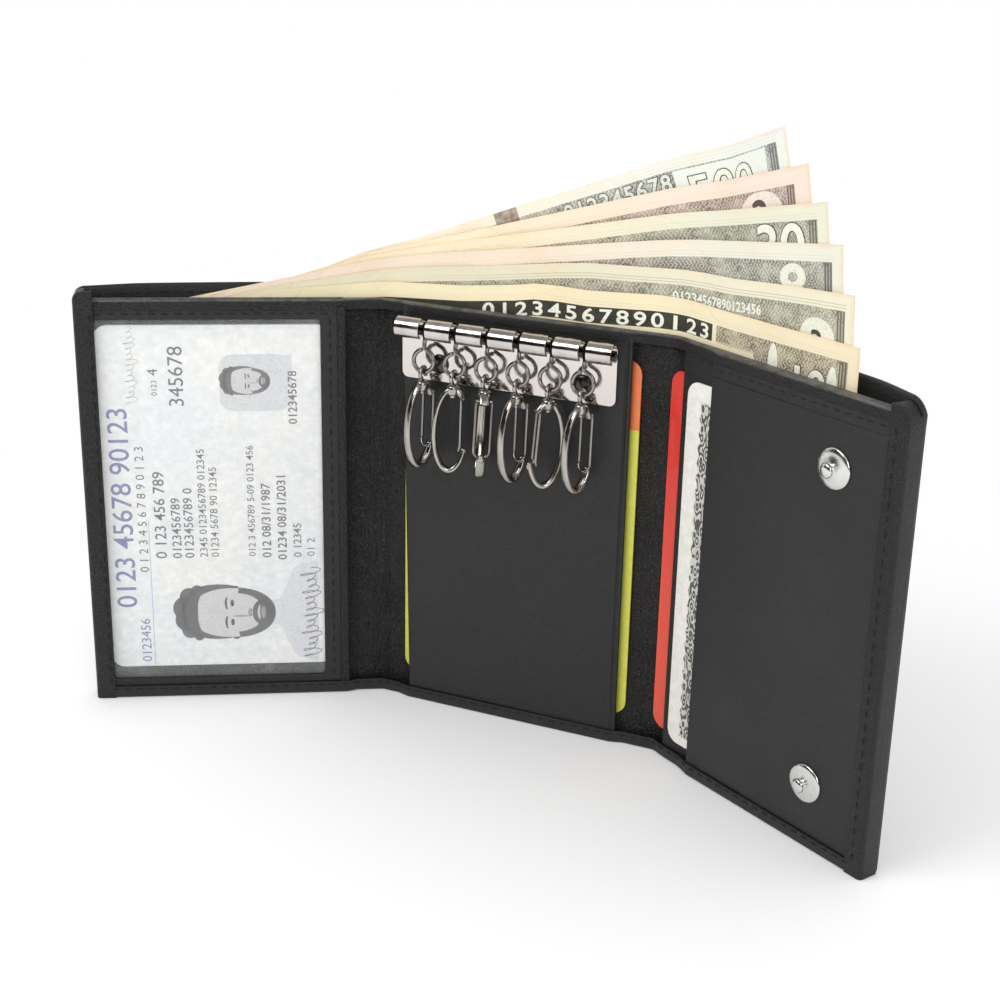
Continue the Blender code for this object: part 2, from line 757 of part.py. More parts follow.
def corner_cut(side):
    """A prism that takes one lower corner off the plate."""
    edge = side * BAR_LENGTH / 2
    out = edge + side * PLATE_CORNER
    inner = edge - side * PLATE_CORNER
    low = -PLATE_DROP
    corners = [(inner, low), (out, low + 2 * PLATE_CORNER), (out, low - PLATE_CORNER)]
    corners.append((inner, low - PLATE_CORNER))
    depths = (0.0, 2 * TUBE_RADIUS)
    return loft([[(x, y, z) for x, z in corners] for y in depths])


def add_bar(nickel, dark_nickel):
    """The plate rolled into a tube, its slots, the rod inside it and the two rivets."""
    inner = TUBE_RADIUS - PLATE_SHEET
    roll = degrees_between(0.0, TUBE_SWEEP_DEG, TUBE_STEPS)
    section = [(TUBE_RADIUS, -PLATE_DROP)]
    section += [(TUBE_RADIUS * math.cos(a), TUBE_RADIUS * math.sin(a)) for a in roll]
    section += [(inner * math.cos(a), inner * math.sin(a)) for a in reversed(roll)]
    section.append((inner, -PLATE_DROP))
    loops = [[(x, y, z) for y, z in section] for x in (-BAR_LENGTH / 2, BAR_LENGTH / 2)]
    plate = add_solid("key_plate", loft(loops), nickel, smooth=True)
    centre = (BAR_OFFSET, LINING_FRONT_Y + bar_depth(), BAR_HEIGHT)
    plate.location = centre

    reach = TUBE_RADIUS + PLATE_SHEET
    slots = []
    for k in range(len(HOOK_TURNS_DEG)):
        across = HOOK_OFFSET - BAR_OFFSET + HOOK_PITCH * (k - (len(HOOK_TURNS_DEG) - 1) / 2)
        low = (across - SLOT_WIDTH / 2, -reach, -reach)
        high = (across + SLOT_WIDTH / 2, SLOT_BACK, reach)
        slots.append(box(low, high))
    slots += [corner_cut(-1), corner_cut(1)]
    cutter = add_solid("plate_cuts", joined(slots), None)
    cutter.location = centre
    add_boolean(plate, cutter)

    end = inner - PIECE_GAP
    half = BAR_LENGTH / 2
    shoulder = half - ROD_END_LENGTH
    profile = [(end, -half), (end, -shoulder), (ROD_RADIUS, -shoulder)]
    profile += [(ROD_RADIUS, shoulder), (end, shoulder), (end, half)]
    rod = add_solid("key_rod", turned(profile, ROD_STEPS, "X"), dark_nickel, smooth=True)
    rod.location = centre
    return plate


def rivet_shape():
    """A domed rivet along Y, from its tail behind the flap to its head in front of the plate."""
    tail_front = FLAP_LAYER[1] + LAYER_GAP
    head_back = PLATE_LAYER[0] - LAYER_GAP
    profile = [
        (RIVET_TAIL_RADIUS, tail_front + RIVET_TAIL_HEIGHT),
        (RIVET_TAIL_RADIUS, tail_front),
        (RIVET_SHANK_RADIUS, tail_front),
        (RIVET_SHANK_RADIUS, head_back),
    ]
    for k in range(HEAD_STEPS):
        angle = math.pi / 2 * k / HEAD_STEPS
        out = RIVET_HEAD_RADIUS * math.cos(angle)
        profile.append((out, head_back - RIVET_HEAD_HEIGHT * math.sin(angle)))
    return turned(profile, ROD_STEPS)


def add_rivets(plate, flap, finish):
    height = BAR_HEIGHT - RIVET_DROP
    radius = RIVET_SHANK_RADIUS + RIVET_CLEARANCE
    reach = 2 * TUBE_RADIUS
    hole = turned([(radius, -reach), (radius, reach)], ROD_STEPS)
    holes = joined([moved(hole, (across, 0.0, height)) for across in RIVET_PLACES])
    cutter = add_solid("rivet_holes", holes, None)
    cutter.location = (0.0, LINING_FRONT_Y, 0.0)
    for target in (plate, flap):
        add_boolean(target, cutter)
    for side, across in zip(("left", "right"), RIVET_PLACES):
        rivet = add_solid("plate_rivet_" + side, rivet_shape(), finish, smooth=True)
        rivet.location = (across, LINING_FRONT_Y, height)


def stud_shape():
    """A ball stud along Y. It starts inside the pocket leather's hole and points forwards."""
    base = POCKET_LAYER[0] - LAYER_GAP
    tip = base - STUD_LENGTH
    ball_back = tip + STUD_BALL_LENGTH
    flange_front = base - STUD_FLANGE_HEIGHT
    return turned(
        [
            (STUD_NECK_RADIUS, POCKET_LAYER[1] - LAYER_GAP),
            (STUD_NECK_RADIUS, base),
            (STUD_FLANGE_RADIUS, base),
            (STUD_FLANGE_RADIUS, base - STUD_FLANGE_HEIGHT / 3),
            (STUD_DOME_RADIUS, flange_front),
            (STUD_NECK_RADIUS, flange_front),
            (STUD_NECK_RADIUS, ball_back),
            (STUD_BALL_RADIUS, tip + STUD_BALL_LENGTH * 3 / 4),
            (STUD_BALL_RADIUS, tip + STUD_BALL_LENGTH / 2),
            (STUD_NECK_RADIUS, tip),
        ],
        SNAP_STEPS,
    )


def socket_shape():
    base = SHELL_BACK + PIECE_GAP
    top = base + SOCKET_LENGTH
    profile = [
        (SOCKET_BORE, base),
        (SOCKET_RADIUS, base),
        (SOCKET_RADIUS, top - SOCKET_BEVEL),
        (SOCKET_RADIUS - SOCKET_BEVEL, top),
        (SOCKET_BORE, top),
    ]
    return turned(profile, SNAP_STEPS, ring=True)


def eyelet_shape():
    """A flange inside the note compartment, with a barrel through the shell's hole."""
    back = SHELL_FRONT - LAYER_GAP
    bore = EYELET_BARREL_RADIUS - EYELET_SHEET
    profile = [
        (bore, back - EYELET_SHEET),
        (EYELET_FLANGE_RADIUS, back - EYELET_SHEET),
        (EYELET_FLANGE_RADIUS, back),
        (EYELET_BARREL_RADIUS, back),
        (EYELET_BARREL_RADIUS, SHELL_BACK - LAYER_GAP),
        (bore, SHELL_BACK - LAYER_GAP),
    ]
    return turned(profile, SNAP_STEPS, ring=True)


def hole_cutter(name, leaf, run, radius):
    """Round holes along Y at the two snap heights."""
    reach = SHELL_BACK + PIECE_GAP
    x, y, _ = leaf.place(run, 0.0, 0.0)
    hole = turned([(radius, -reach), (radius, reach)], SNAP_STEPS)
    holes = joined([moved(hole, (x, y, height)) for height in STUD_HEIGHTS])
    return add_solid(name, holes, None, leaf.parent)


def add_snaps(left, right, pocket, shell, finish):
    """Studs on the right leaf's pocket, and the sockets that they meet when the wallet is closed."""
    add_boolean(pocket, hole_cutter("stud_holes", right, STUD_RUN, STUD_NECK_RADIUS + PIECE_GAP))
    closed = right.parent.location.x - (STUD_RUN - right.foot)
    socket_run = left.foot + closed - left.parent.location.x
    radius = EYELET_BARREL_RADIUS + SNAP_HOLE_CLEARANCE
    add_boolean(shell, hole_cutter("socket_holes", left, socket_run, radius))
    pieces = (
        ("snap_stud_", right, STUD_RUN, stud_shape()),
        ("snap_socket_", left, socket_run, socket_shape()),
        ("snap_eyelet_", left, socket_run, eyelet_shape()),
    )
    for name, leaf, run, shape in pieces:
        for place, height in zip(("upper", "lower"), STUD_HEIGHTS):
            made = add_solid(name + place, shape, finish, leaf.parent, smooth=True)
            made.location = leaf.place(run, 0.0, height)


def note_corners(place, top, slope_deg):
    """The note's four corners as place along the wallet and height, from its top right corner."""
    slope = math.radians(slope_deg)
    along, rise = NOTE_LENGTH * math.cos(slope), NOTE_LENGTH * math.sin(slope)
    across, drop = NOTE_WIDTH * math.sin(slope), NOTE_WIDTH * math.cos(slope)
    return [
        (place, top),
        (place - along, top - rise),
        (place - along + across, top - rise - drop),
        (place + across, top - drop),
    ]


def note_grid(corners):
    """The note as a flat sheet, cut wherever the wallet bends or bulges."""
    sheet = bmesh.new()
    sheet.faces.new([sheet.verts.new((x, 0.0, z)) for x, z in corners])
    cuts = [((place, 0.0, 0.0), (1.0, 0.0, 0.0)) for side in (-1, 1) for place in fold_stations(side)]
    count = int(NOTE_REACH / NOTE_CELL)
    for k in range(-count, count + 1):
        cuts.append(((k * NOTE_CELL, 0.0, 0.0), (1.0, 0.0, 0.0)))
        cuts.append(((0.0, 0.0, SHELL_HEIGHT + abs(k) * NOTE_CELL), (0.0, 0.0, 1.0)))
    cuts += [((0.0, 0.0, height), (0.0, 0.0, 1.0)) for height in flare_heights()[:-1]]
    for place, normal in cuts:
        parts = sheet.verts[:] + sheet.edges[:] + sheet.faces[:]
        bmesh.ops.bisect_plane(sheet, geom=parts, plane_co=place, plane_no=normal)
    return sheet


def add_note(name, corners, depth, finish):
    """A paper note between the lining and the shell, following the folds and the mouth's bulge."""
    sheet = note_grid(corners)
    sheet.verts.index_update()
    share = (depth - LINING_BACK) / BILL_GAP
    points = []
    for thickness in (0.0, NOTE_PAPER):
        for vert in sheet.verts:
            along, _, height = vert.co
            points.append(fold_place(along, depth + thickness + share * bulge(along, height), height))
    count = len(sheet.verts)
    faces = []
    for face in sheet.faces:
        ring = [vert.index for vert in face.verts]
        faces.append(tuple(ring))
        faces.append(tuple(count + k for k in reversed(ring)))
    for edge in sheet.edges:
        if edge.is_boundary:
            a, b = (vert.index for vert in edge.verts)
            faces.append((a, b, count + b, count + a))
    sheet.free()
    return add_solid(name, (points, faces), finish)


def add_notes(finish):
    last = len(NOTE_PLACES) - 1
    for k, (place, rise, slope) in enumerate(zip(NOTE_PLACES, NOTE_RISES, NOTE_SLOPES_DEG)):
        depth = NOTE_FRONT_DEPTH + NOTE_PITCH * (last - k)
        corners = note_corners(place, SHELL_HEIGHT + rise, slope)
        add_note("banknote_" + str(k + 1), corners, depth, finish)


def add_left_leaf(leaf, leather, lining, film, id_card):
    outer = leaf.width - EDGE_LEATHER - PIECE_GAP
    start = LEFT_FOLD_HALF + PIECE_GAP / 2
    shell = add_end_shell("outer_shell_left", leaf, LEFT_FOLD_HALF, FRAME_LAYER[0], leather)
    add_lining("lining_left", leaf, start, outer, lining)
    add_frame("id_window_frame", leaf, leather)
    film_outline = rounded_outline(
        FRAME_START + FRAME_SIDE_BAR - FILM_OVERLAP,
        outer - FRAME_OUTER_BAR + FILM_OVERLAP,
        INNER_BOTTOM + FRAME_BOTTOM_BAR - FILM_OVERLAP,
        LINING_HEIGHT - FRAME_TOP_BAR + FILM_OVERLAP,
        0.0,
    )
    add_plate("id_window_film", leaf, film_outline, FILM_LAYER, film)
    card = card_outline(ID_CARD_START, ID_CARD_BOTTOM)
    add_plate("id_card", leaf, card, ID_CARD_LAYER, id_card)
    return shell


def add_middle_leaf(leaf, leather, lining, loyalty):
    first = -HALF_MIDDLE + LEFT_FOLD_HALF + PIECE_GAP / 2
    last = HALF_MIDDLE - RIGHT_FOLD_HALF - PIECE_GAP / 2
    runs = spaced(first, last, LEATHER_STEP)
    add_shell("outer_shell_middle", leaf, runs, FLAP_LAYER[0], leather)
    add_lining("lining_middle", leaf, first, last, lining)
    flap_right = HALF_MIDDLE - FLAP_RIGHT
    flap_outline = [
        (flap_right, INNER_BOTTOM),
        (flap_right, LINING_HEIGHT),
        (FLAP_LEFT_TOP - HALF_MIDDLE, LINING_HEIGHT),
        (FLAP_LEFT_BOTTOM - HALF_MIDDLE, INNER_BOTTOM),
    ]
    flap = add_plate("key_flap", leaf, flap_outline, FLAP_LAYER, leather)
    card_left = LOYALTY_CARD_LEFT_MARGIN - HALF_MIDDLE
    card_width = MIDDLE_WIDTH - LOYALTY_CARD_LEFT_MARGIN - LOYALTY_CARD_RIGHT_MARGIN
    card = card_outline(card_left, LOYALTY_CARD_BOTTOM, card_width)
    add_plate("loyalty_card", leaf, card, LOYALTY_LAYER, loyalty)
    return flap


def add_right_leaf(leaf, leather, lining, red, white):
    outer = leaf.width - EDGE_LEATHER - PIECE_GAP
    start = RIGHT_FOLD_HALF + PIECE_GAP / 2
    add_end_shell("outer_shell_right", leaf, RIGHT_FOLD_HALF, POCKET_LAYER[0], leather)
    add_lining("lining_right", leaf, start, outer, lining)
    red_outline = card_outline(RED_CARD_START, RED_CARD_BOTTOM)
    add_plate("red_card", leaf, red_outline, RED_LAYER, red)
    divider = rounded_outline(DIVIDER_START, outer, INNER_BOTTOM, LINING_HEIGHT, 0.0)
    add_plate("card_divider", leaf, divider, DIVIDER_LAYER, lining)
    white_outline = card_outline(WHITE_CARD_START, WHITE_CARD_BOTTOM)
    add_plate("white_card", leaf, white_outline, WHITE_LAYER, white)
    pocket_outline = [
        (outer, INNER_BOTTOM),
        (outer, LINING_HEIGHT),
        (POCKET_START_TOP, LINING_HEIGHT),
        (POCKET_START_BOTTOM, INNER_BOTTOM),
    ]
    return add_plate("card_pocket", leaf, pocket_outline, POCKET_LAYER, leather)


def clear_scene():
    for made in list(bpy.data.objects):
        bpy.data.objects.remove(made, do_unlink=True)


def main():
    clear_scene()
    leather = material("black_leather", BLACK_LEATHER, 0.5)
    lining = material("black_lining", LINING_COLOUR, 0.65)
    nickel = material("polished_nickel", NICKEL, 0.12, metallic=1.0)
    dark_nickel = material("nickel_wire", DARK_NICKEL, 0.2, metallic=1.0)
    film = material("clear_film", FILM_COLOUR, 0.1, alpha=0.15)
    paper = material("note_paper", PAPER_COLOUR, 0.8)
    id_plastic = material("id_card_plastic", ID_CARD_COLOUR, 0.35)
    yellow_plastic = material("yellow_card_plastic", LOYALTY_COLOUR, 0.35)
    red_plastic = material("red_card_plastic", RED_COLOUR, 0.35)
    white_plastic = material("white_card_plastic", WHITE_COLOUR, 0.4)

    left = Leaf(-1, LEFT_WIDTH, LEFT_REST_DEG, LEFT_AXIS_FORWARD)
    right = Leaf(1, RIGHT_WIDTH, RIGHT_REST_DEG, RIGHT_AXIS_FORWARD)
    shell_left = add_left_leaf(left, leather, lining, film, id_plastic)
    flap = add_middle_leaf(MiddleLeaf(), leather, lining, yellow_plastic)
    pocket = add_right_leaf(right, leather, lining, red_plastic, white_plastic)
    for name, side, half in (("left", -1, LEFT_FOLD_HALF), ("right", 1, RIGHT_FOLD_HALF)):
        add_fold("outer_fold_" + name, side, half, outer_fold_section(FLAP_LAYER[0]), leather)
        add_fold("lining_fold_" + name, side, half, lining_section, lining)
    plate = add_bar(nickel, dark_nickel)
    add_rivets(plate, flap, nickel)
    add_hooks(nickel, dark_nickel)
    add_snaps(left, right, pocket, shell_left, nickel)
    add_notes(paper)


main()
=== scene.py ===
"""A black leather key wallet that stands open: leather, stitching, key bar and hooks, cards and notes.

Lengths inside the functions are millimetres in the wallet's own measure. "Along" runs from the middle of
the middle leaf through both folds, "run" from a fold line along an end leaf, "depth" goes backwards from
the front of the lining, and "height" goes up from the table. place() turns them into the row frame.
"""

import math

import bmesh
import bpy
import numpy as np
from mathutils import Matrix, Vector


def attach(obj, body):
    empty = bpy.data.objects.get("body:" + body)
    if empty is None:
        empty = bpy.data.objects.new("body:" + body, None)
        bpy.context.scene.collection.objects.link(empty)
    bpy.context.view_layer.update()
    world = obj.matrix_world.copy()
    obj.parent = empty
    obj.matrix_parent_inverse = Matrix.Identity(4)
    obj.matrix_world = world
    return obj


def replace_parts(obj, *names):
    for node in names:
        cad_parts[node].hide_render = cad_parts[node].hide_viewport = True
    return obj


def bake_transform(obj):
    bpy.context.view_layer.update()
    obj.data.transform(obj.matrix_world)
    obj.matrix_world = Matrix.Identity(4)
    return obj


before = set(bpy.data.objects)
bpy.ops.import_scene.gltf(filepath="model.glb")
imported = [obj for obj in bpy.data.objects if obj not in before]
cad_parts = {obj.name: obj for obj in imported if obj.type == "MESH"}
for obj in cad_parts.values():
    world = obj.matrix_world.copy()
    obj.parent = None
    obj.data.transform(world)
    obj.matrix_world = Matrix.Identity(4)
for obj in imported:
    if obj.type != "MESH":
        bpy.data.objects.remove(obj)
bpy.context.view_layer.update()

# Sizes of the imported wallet, in millimetres. Side -1 is the left leaf, 1 the right one and 0 the middle
MM = 0.001
HALF_MIDDLE = 35.8
WIDTH = {-1: 70.0, 1: 66.7}
REST = {-1: math.radians(29.8), 1: math.radians(29.5)}
LEAF = {-1: "left_leaf", 0: "middle", 1: "right_leaf"}
WORD = {-1: "left", 1: "right"}
LINING_Y = -3.5
BEND_RADIUS = 3.6
LINING_BACK, SHELL_FRONT, SHELL_BACK = 0.8, 2.9, 4.1
BINDING_BACK = LINING_BACK + 0.1
LINING_TOP, SHELL_TOP = 99.0, 101.7
PANEL_BOTTOM, PANEL_TOP = 1.0, LINING_TOP - 0.6
FLARE, FLARE_FROM, FLARE_LEAN = 2.6, 84.0, 0.7
PINCH_LENGTH, PINCH_DEPTH = 16.0, 1.8
FOLD_REACH = 5.0
LIP_HEIGHT, LIP_SHEET, LIP_FLOOR = 3.0, 0.5, 0.6
CORNER_RADIUS = {-1: 2.4, 1: 4.2}
# The turned edges up the free sides: width, leather at the back, and rise above the lining. They lie
# EDGE_STEP in front of the shell's faces and above the table
EDGE_WIDTH, EDGE_LEATHER, EDGE_STEP = 4.6, 0.9, 0.12
EDGE_RISE = {-1: 2.5, 1: 1.9}
# Where the left leaf's binding ends past the fold, and where the card slot's two edges start
BINDING_END, SLOT_START = 9.4, 9.0
# Depth of the front face of the turned bottom edge and of the mouth's binding, at places along the
# wallet: both sink over the folds, where fewer layers lie in them
LIP_FRONT = (
    (-105.8, -2.6), (-45, -2.6), (-42.5, -1.6), (-31, -1.6), (-28, -2.5), (25, -2.5), (28, -1.6),
    (37, -1.6), (40, -1.9), (46, -2.1), (49.5, -3.1), (102.5, -3.1),
)
BINDING_FRONT = (
    (-105.8, -2.2), (-46, -2.2), (-42, -1.2), (-31, -1.2), (-28, -2.05), (25, -2.05), (28, -1.1),
    (38, -1.1), (41, -1.4), (47, -1.6), (51, -2.75), (102.5, -2.75),
)
# Distances from a fold line where the lip or the binding changes its depth
DEPTH_CHANGES = (-10.8, -9.5, -7.8, -4.8, 4.2, 5.4, 6.7, 9.2, 11.3, 13.7, 15.2)


def smooth_step(value, low, high):
    """Rises from 0 at low to 1 at high as three times the square minus twice the cube."""
    share = np.clip((np.asarray(value, float) - low) / (high - low), 0, 1)
    return share * share * (3 - 2 * share)


def place(along, depth, height, radius=BEND_RADIUS):
    """Points on the bent wallet. Before a fold a point stays flat, inside it it turns about the bend's
    centre by an angle that grows evenly with along, and past it it follows the end leaf's plane."""
    given = (np.asarray(a, float) for a in (along, depth, height, radius))
    along, depth, height, radius = np.broadcast_arrays(*given)
    side = np.where(along < 0, -1.0, 1.0)
    rest = np.where(along < 0, REST[-1], REST[1])
    tangent = radius * np.tan(rest / 2)
    past = np.abs(along) - (HALF_MIDDLE - tangent)
    angle = np.clip(rest * past / (2 * tangent), 0, rest)
    bent_x = HALF_MIDDLE - tangent + (radius + depth) * np.sin(angle)
    bent_y = (radius + depth) * np.cos(angle) - radius
    run = np.abs(along) - HALF_MIDDLE
    far_x = HALF_MIDDLE + run * np.cos(rest) + depth * np.sin(rest)
    far_y = depth * np.cos(rest) - run * np.sin(rest)
    x = np.where(past <= 0, np.abs(along), np.where(past >= 2 * tangent, far_x, bent_x))
    y = np.where(past <= 0, depth, np.where(past >= 2 * tangent, far_y, bent_y))
    return np.stack([side * x, y + LINING_Y, height], -1)


def bulge(along, height):
    """The mouth's swell: a parabola in height above FLARE_FROM, then a straight lean, times one minus
    the fourth power of the distance from the middle of the wallet as a share of its half length."""
    share = np.clip((np.asarray(height, float) - FLARE_FROM) / (SHELL_TOP - FLARE_FROM), 0, None)
    rise = np.where(share <= 1, share**2, 1 + FLARE_LEAN * (share - 1))
    middle = (WIDTH[1] - WIDTH[-1]) / 2
    span = HALF_MIDDLE + (WIDTH[1] + WIDTH[-1]) / 2
    return FLARE * (1 - np.clip(np.abs(along - middle) / span, 0, 1) ** 4) * rise


def to_free_edge(along):
    """Distance to the free outer edge on the same side."""
    along = np.asarray(along, float)
    return HALF_MIDDLE + np.where(along < 0, WIDTH[-1], WIDTH[1]) - np.abs(along)


def pinch(along):
    """How far the shell comes forward near a free edge, as a smooth step."""
    return PINCH_DEPTH * smooth_step(1 - to_free_edge(along) / PINCH_LENGTH, 0, 1)


def corner_drop(along):
    """How much a round top corner lowers the edge: the radius minus the root of its square less the square
    of the radius minus the distance to the free edge."""
    radius = np.where(np.asarray(along) < 0, CORNER_RADIUS[-1], CORNER_RADIUS[1])
    into = np.clip(radius - to_free_edge(along), 0, radius)
    return radius - np.sqrt(radius**2 - into**2)


def front_of(layers, along):
    """A front face's depth, straight between its given places."""
    return np.interp(along, *zip(*layers))


def stations(first, last, step=4.0):
    """Places along the wallet, closer together over the folds, the pinched ends and the round corners."""
    low, high = min(first, last), max(first, last)
    places = [np.linspace(low, high, max(2, int((high - low) / step) + 1))]
    for side in (-1, 1):
        places.append(side * (HALF_MIDDLE + np.linspace(-2.4, 2.4, 17)))
        places.append(side * (HALF_MIDDLE + np.array(DEPTH_CHANGES)))
        end = HALF_MIDDLE + WIDTH[side]
        places.append(side * (end - np.linspace(0, PINCH_LENGTH, 9)))
        places.append(side * (end - CORNER_RADIUS[side] * (1 - np.cos(np.linspace(0, math.pi / 2, 9)))))
    near = np.concatenate(places)
    return np.unique(np.round(near[(near >= low) & (near <= high)], 3))


def mesh_object(name, points, faces, finish, uv=None, angle=45.0):
    """An object at the origin from points in millimetres, faces as lists of indices, and a place on the
    sheet for each point in millimetres, which is kept in units of 100 mm."""
    mesh = bpy.data.meshes.new(name)
    mesh.from_pydata((np.asarray(points, float).reshape(-1, 3) * MM).tolist(), [], faces)
    mesh.update()
    mesh.shade_smooth()
    mesh.set_sharp_from_angle(angle=math.radians(angle))
    if uv is not None:
        corners = np.empty(len(mesh.loops), np.int32)
        mesh.loops.foreach_get("vertex_index", corners)
        layer = mesh.uv_layers.new(name="sheet")
        layer.data.foreach_set("uv", (np.asarray(uv, float).reshape(-1, 2)[corners] / 100).ravel())
    mesh.materials.append(finish)
    made = bpy.data.objects.new(name, mesh)
    bpy.context.scene.collection.objects.link(made)
    return made


def grid_faces(rows, columns, ring=False):
    """Quads between rows of points that each close on themselves. A ring joins its last row to its first."""
    r, c = np.meshgrid(np.arange(rows if ring else rows - 1), np.arange(columns), indexing="ij")
    r2, c2 = (r + 1) % rows, (c + 1) % columns
    return np.stack([r * columns + c, r * columns + c2, r2 * columns + c2, r2 * columns + c],
                    -1).reshape(-1, 4).tolist()


def outwards(made):
    """Turns an object's faces outwards."""
    work = bmesh.new()
    work.from_mesh(made.data)
    bmesh.ops.recalc_face_normals(work, faces=work.faces)
    work.to_mesh(made.data)
    work.free()
    return made


def swept(name, rings, finish, uv=None, ring=False, angle=45.0):
    """A body through rings of points (steps, around, 3), with flat ends or joined into a ring."""
    steps, around = rings.shape[:2]
    faces = grid_faces(steps, around, ring)
    if not ring:
        faces.append(list(range(around)))
        faces.append(list(range((steps - 1) * around, steps * around)))
    return outwards(mesh_object(name, rings, faces, finish, uv, angle))


def rounded_loop(corners, radii, steps=5):
    """A closed outline through corners, each rounded by a circular arc of its own radius."""
    corners = np.asarray(corners, float)
    radii = np.broadcast_to(radii, len(corners))
    loop = []
    for k, corner in enumerate(corners):
        before, after = corners[k - 1] - corner, corners[(k + 1) % len(corners)] - corner
        before, after = before / np.linalg.norm(before), after / np.linalg.norm(after)
        half = math.acos(np.clip(before @ after, -1, 1)) / 2
        if radii[k] <= 0:
            loop.append(corner)
            continue
        reach = radii[k] / math.tan(half)
        centre = corner + (before + after) / np.linalg.norm(before + after) * radii[k] / math.sin(half)
        start, end = corner + before * reach - centre, corner + after * reach - centre
        turn = math.atan2(start[0] * end[1] - start[1] * end[0], start @ end)
        for t in np.linspace(0, turn, steps + 1):
            loop.append(centre + [start[0] * math.cos(t) - start[1] * math.sin(t),
                                  start[0] * math.sin(t) + start[1] * math.cos(t)])
    return np.array(loop)


def rectangle(left, right, bottom, top, radii=0.0):
    """A rectangle's outline with round corners."""
    return rounded_loop([(right, bottom), (right, top), (left, top), (left, bottom)], radii)


def inset(outline, distance):
    """An outline moved inwards along the mean normal of its two neighbouring edges."""
    ahead, behind = np.roll(outline, -1, 0) - outline, outline - np.roll(outline, 1, 0)
    ahead /= np.linalg.norm(ahead, axis=1)[:, None]
    behind /= np.linalg.norm(behind, axis=1)[:, None]
    normal = np.stack([-(ahead + behind)[:, 1], (ahead + behind)[:, 0]], -1)
    normal /= np.linalg.norm(normal, axis=1)[:, None]
    stretch = np.sqrt((1 + np.sum(ahead * behind, axis=1)) / 2).clip(0.5)
    area = np.sum(outline[:, 0] * np.roll(outline[:, 1], -1) - outline[:, 1] * np.roll(outline[:, 0], -1))
    return outline + normal * (np.sign(area) * distance / stretch)[:, None]


def layered(name, rings, depths, finish, ring=False):
    """A body through flat outlines of along and height, each at its own depth."""
    rings, depths = np.array(rings), np.array(depths)
    points = place(rings[:, :, 0], depths[:, None], rings[:, :, 1])
    return swept(name, points, finish, rings, ring=ring)


def panel(name, outline, front, back, finish, soft):
    """A flat sheet with round edges. outline is along and height. Over each quarter circle of the rim a
    ring lies inwards by soft times one minus the sine, and off its face by soft times one minus the
    cosine."""
    soft = min(soft, (back - front) / 2)
    rings, depths = [], []
    for t in np.linspace(0, math.pi / 2, 4):
        rings.append(inset(outline, soft * (1 - math.sin(t))))
        depths.append(back - soft * (1 - math.cos(t)))
    for t in np.linspace(math.pi / 2, 0, 5):
        rings.append(inset(outline, soft * (1 - math.sin(t))))
        depths.append(front + soft * (1 - math.cos(t)))
    return layered(name, rings, depths, finish)


class Graph:
    """Short calls for building a node tree. A value is a socket to link or a constant to set."""

    def __init__(self, tree):
        self.tree = tree

    def node(self, kind, inputs=None, **settings):
        made = self.tree.nodes.new("ShaderNode" + kind)
        for name, value in settings.items():
            setattr(made, name, value)
        self.feed_all(made, inputs or {})
        return made

    def feed(self, socket, value):
        if isinstance(value, bpy.types.NodeSocket):
            self.tree.links.new(value, socket)
        else:
            socket.default_value = value

    def feed_all(self, node, inputs):
        for key, value in inputs.items():
            self.feed(node.inputs[key], value)

    def math(self, operation, a, b=0.0):
        return self.node("Math", {0: a, 1: b}, operation=operation).outputs[0]

    def plus(self, a, b):
        return self.math("ADD", a, b)

    def minus(self, a, b):
        return self.math("SUBTRACT", a, b)

    def apart(self, a, b):
        """The distance between two values."""
        return self.math("ABSOLUTE", self.minus(a, b))

    def times(self, first, *others):
        for other in others:
            first = self.math("MULTIPLY", first, other)
        return first

    def sine(self, value):
        return self.math("SINE", value)

    def length(self, vector):
        return self.node("VectorMath", {0: vector}, operation="LENGTH").outputs["Value"]

    def mix(self, share, a, b):
        return self.node("Mix", {0: share, 6: a, 7: b}, data_type="RGBA").outputs[2]

    def value(self, colour, value):
        """A colour made darker or lighter."""
        return self.node("HueSaturation", {"Color": colour, "Value": value}).outputs[0]

    def drawn(self, vector, scale, turn=0.0):
        """A vector turned about its third axis and scaled, so that a pattern is drawn out."""
        inputs = {"Vector": vector, "Scale": scale, "Rotation": (0.0, 0.0, turn)}
        return self.node("Mapping", inputs).outputs[0]

    def between(self, value, low, high, to_low=0.0, to_high=1.0):
        made = self.node("MapRange", {0: value, 1: low, 2: high, 3: to_low, 4: to_high},
                         interpolation_type="SMOOTHSTEP")
        return made.outputs[0]

    def noise(self, vector, scale, detail=2.0, roughness=0.5, distortion=0.0):
        made = self.node("TexNoise", {"Vector": vector, "Scale": scale, "Detail": detail,
                                      "Roughness": roughness, "Distortion": distortion})
        return made.outputs[0]

    def cells(self, vector, scale, feature="F1"):
        return self.node("TexVoronoi", {"Vector": vector, "Scale": scale}, feature=feature).outputs[0]

    def split(self, vector):
        return self.node("SeparateXYZ", {0: vector}).outputs

    def sheet(self):
        """Place on the sheet in millimetres: x along or run, y height."""
        uv = self.node("UVMap", uv_map="sheet").outputs[0]
        return self.node("VectorMath", {0: uv, 3: 100.0}, operation="SCALE").outputs[0]

    def body(self):
        """Place on the object in millimetres."""
        place_on = self.node("TexCoord").outputs["Object"]
        return self.node("VectorMath", {0: place_on, 3: 1 / MM}, operation="SCALE").outputs[0]

    def group(self, tree, inputs):
        return self.node("Group", inputs, node_tree=tree).outputs

    def bump(self, height, distance):
        """Bump from a height of 0 to 1 that stands for distance millimetres."""
        return self.node("Bump", {"Distance": distance * MM, "Height": height}).outputs[0]


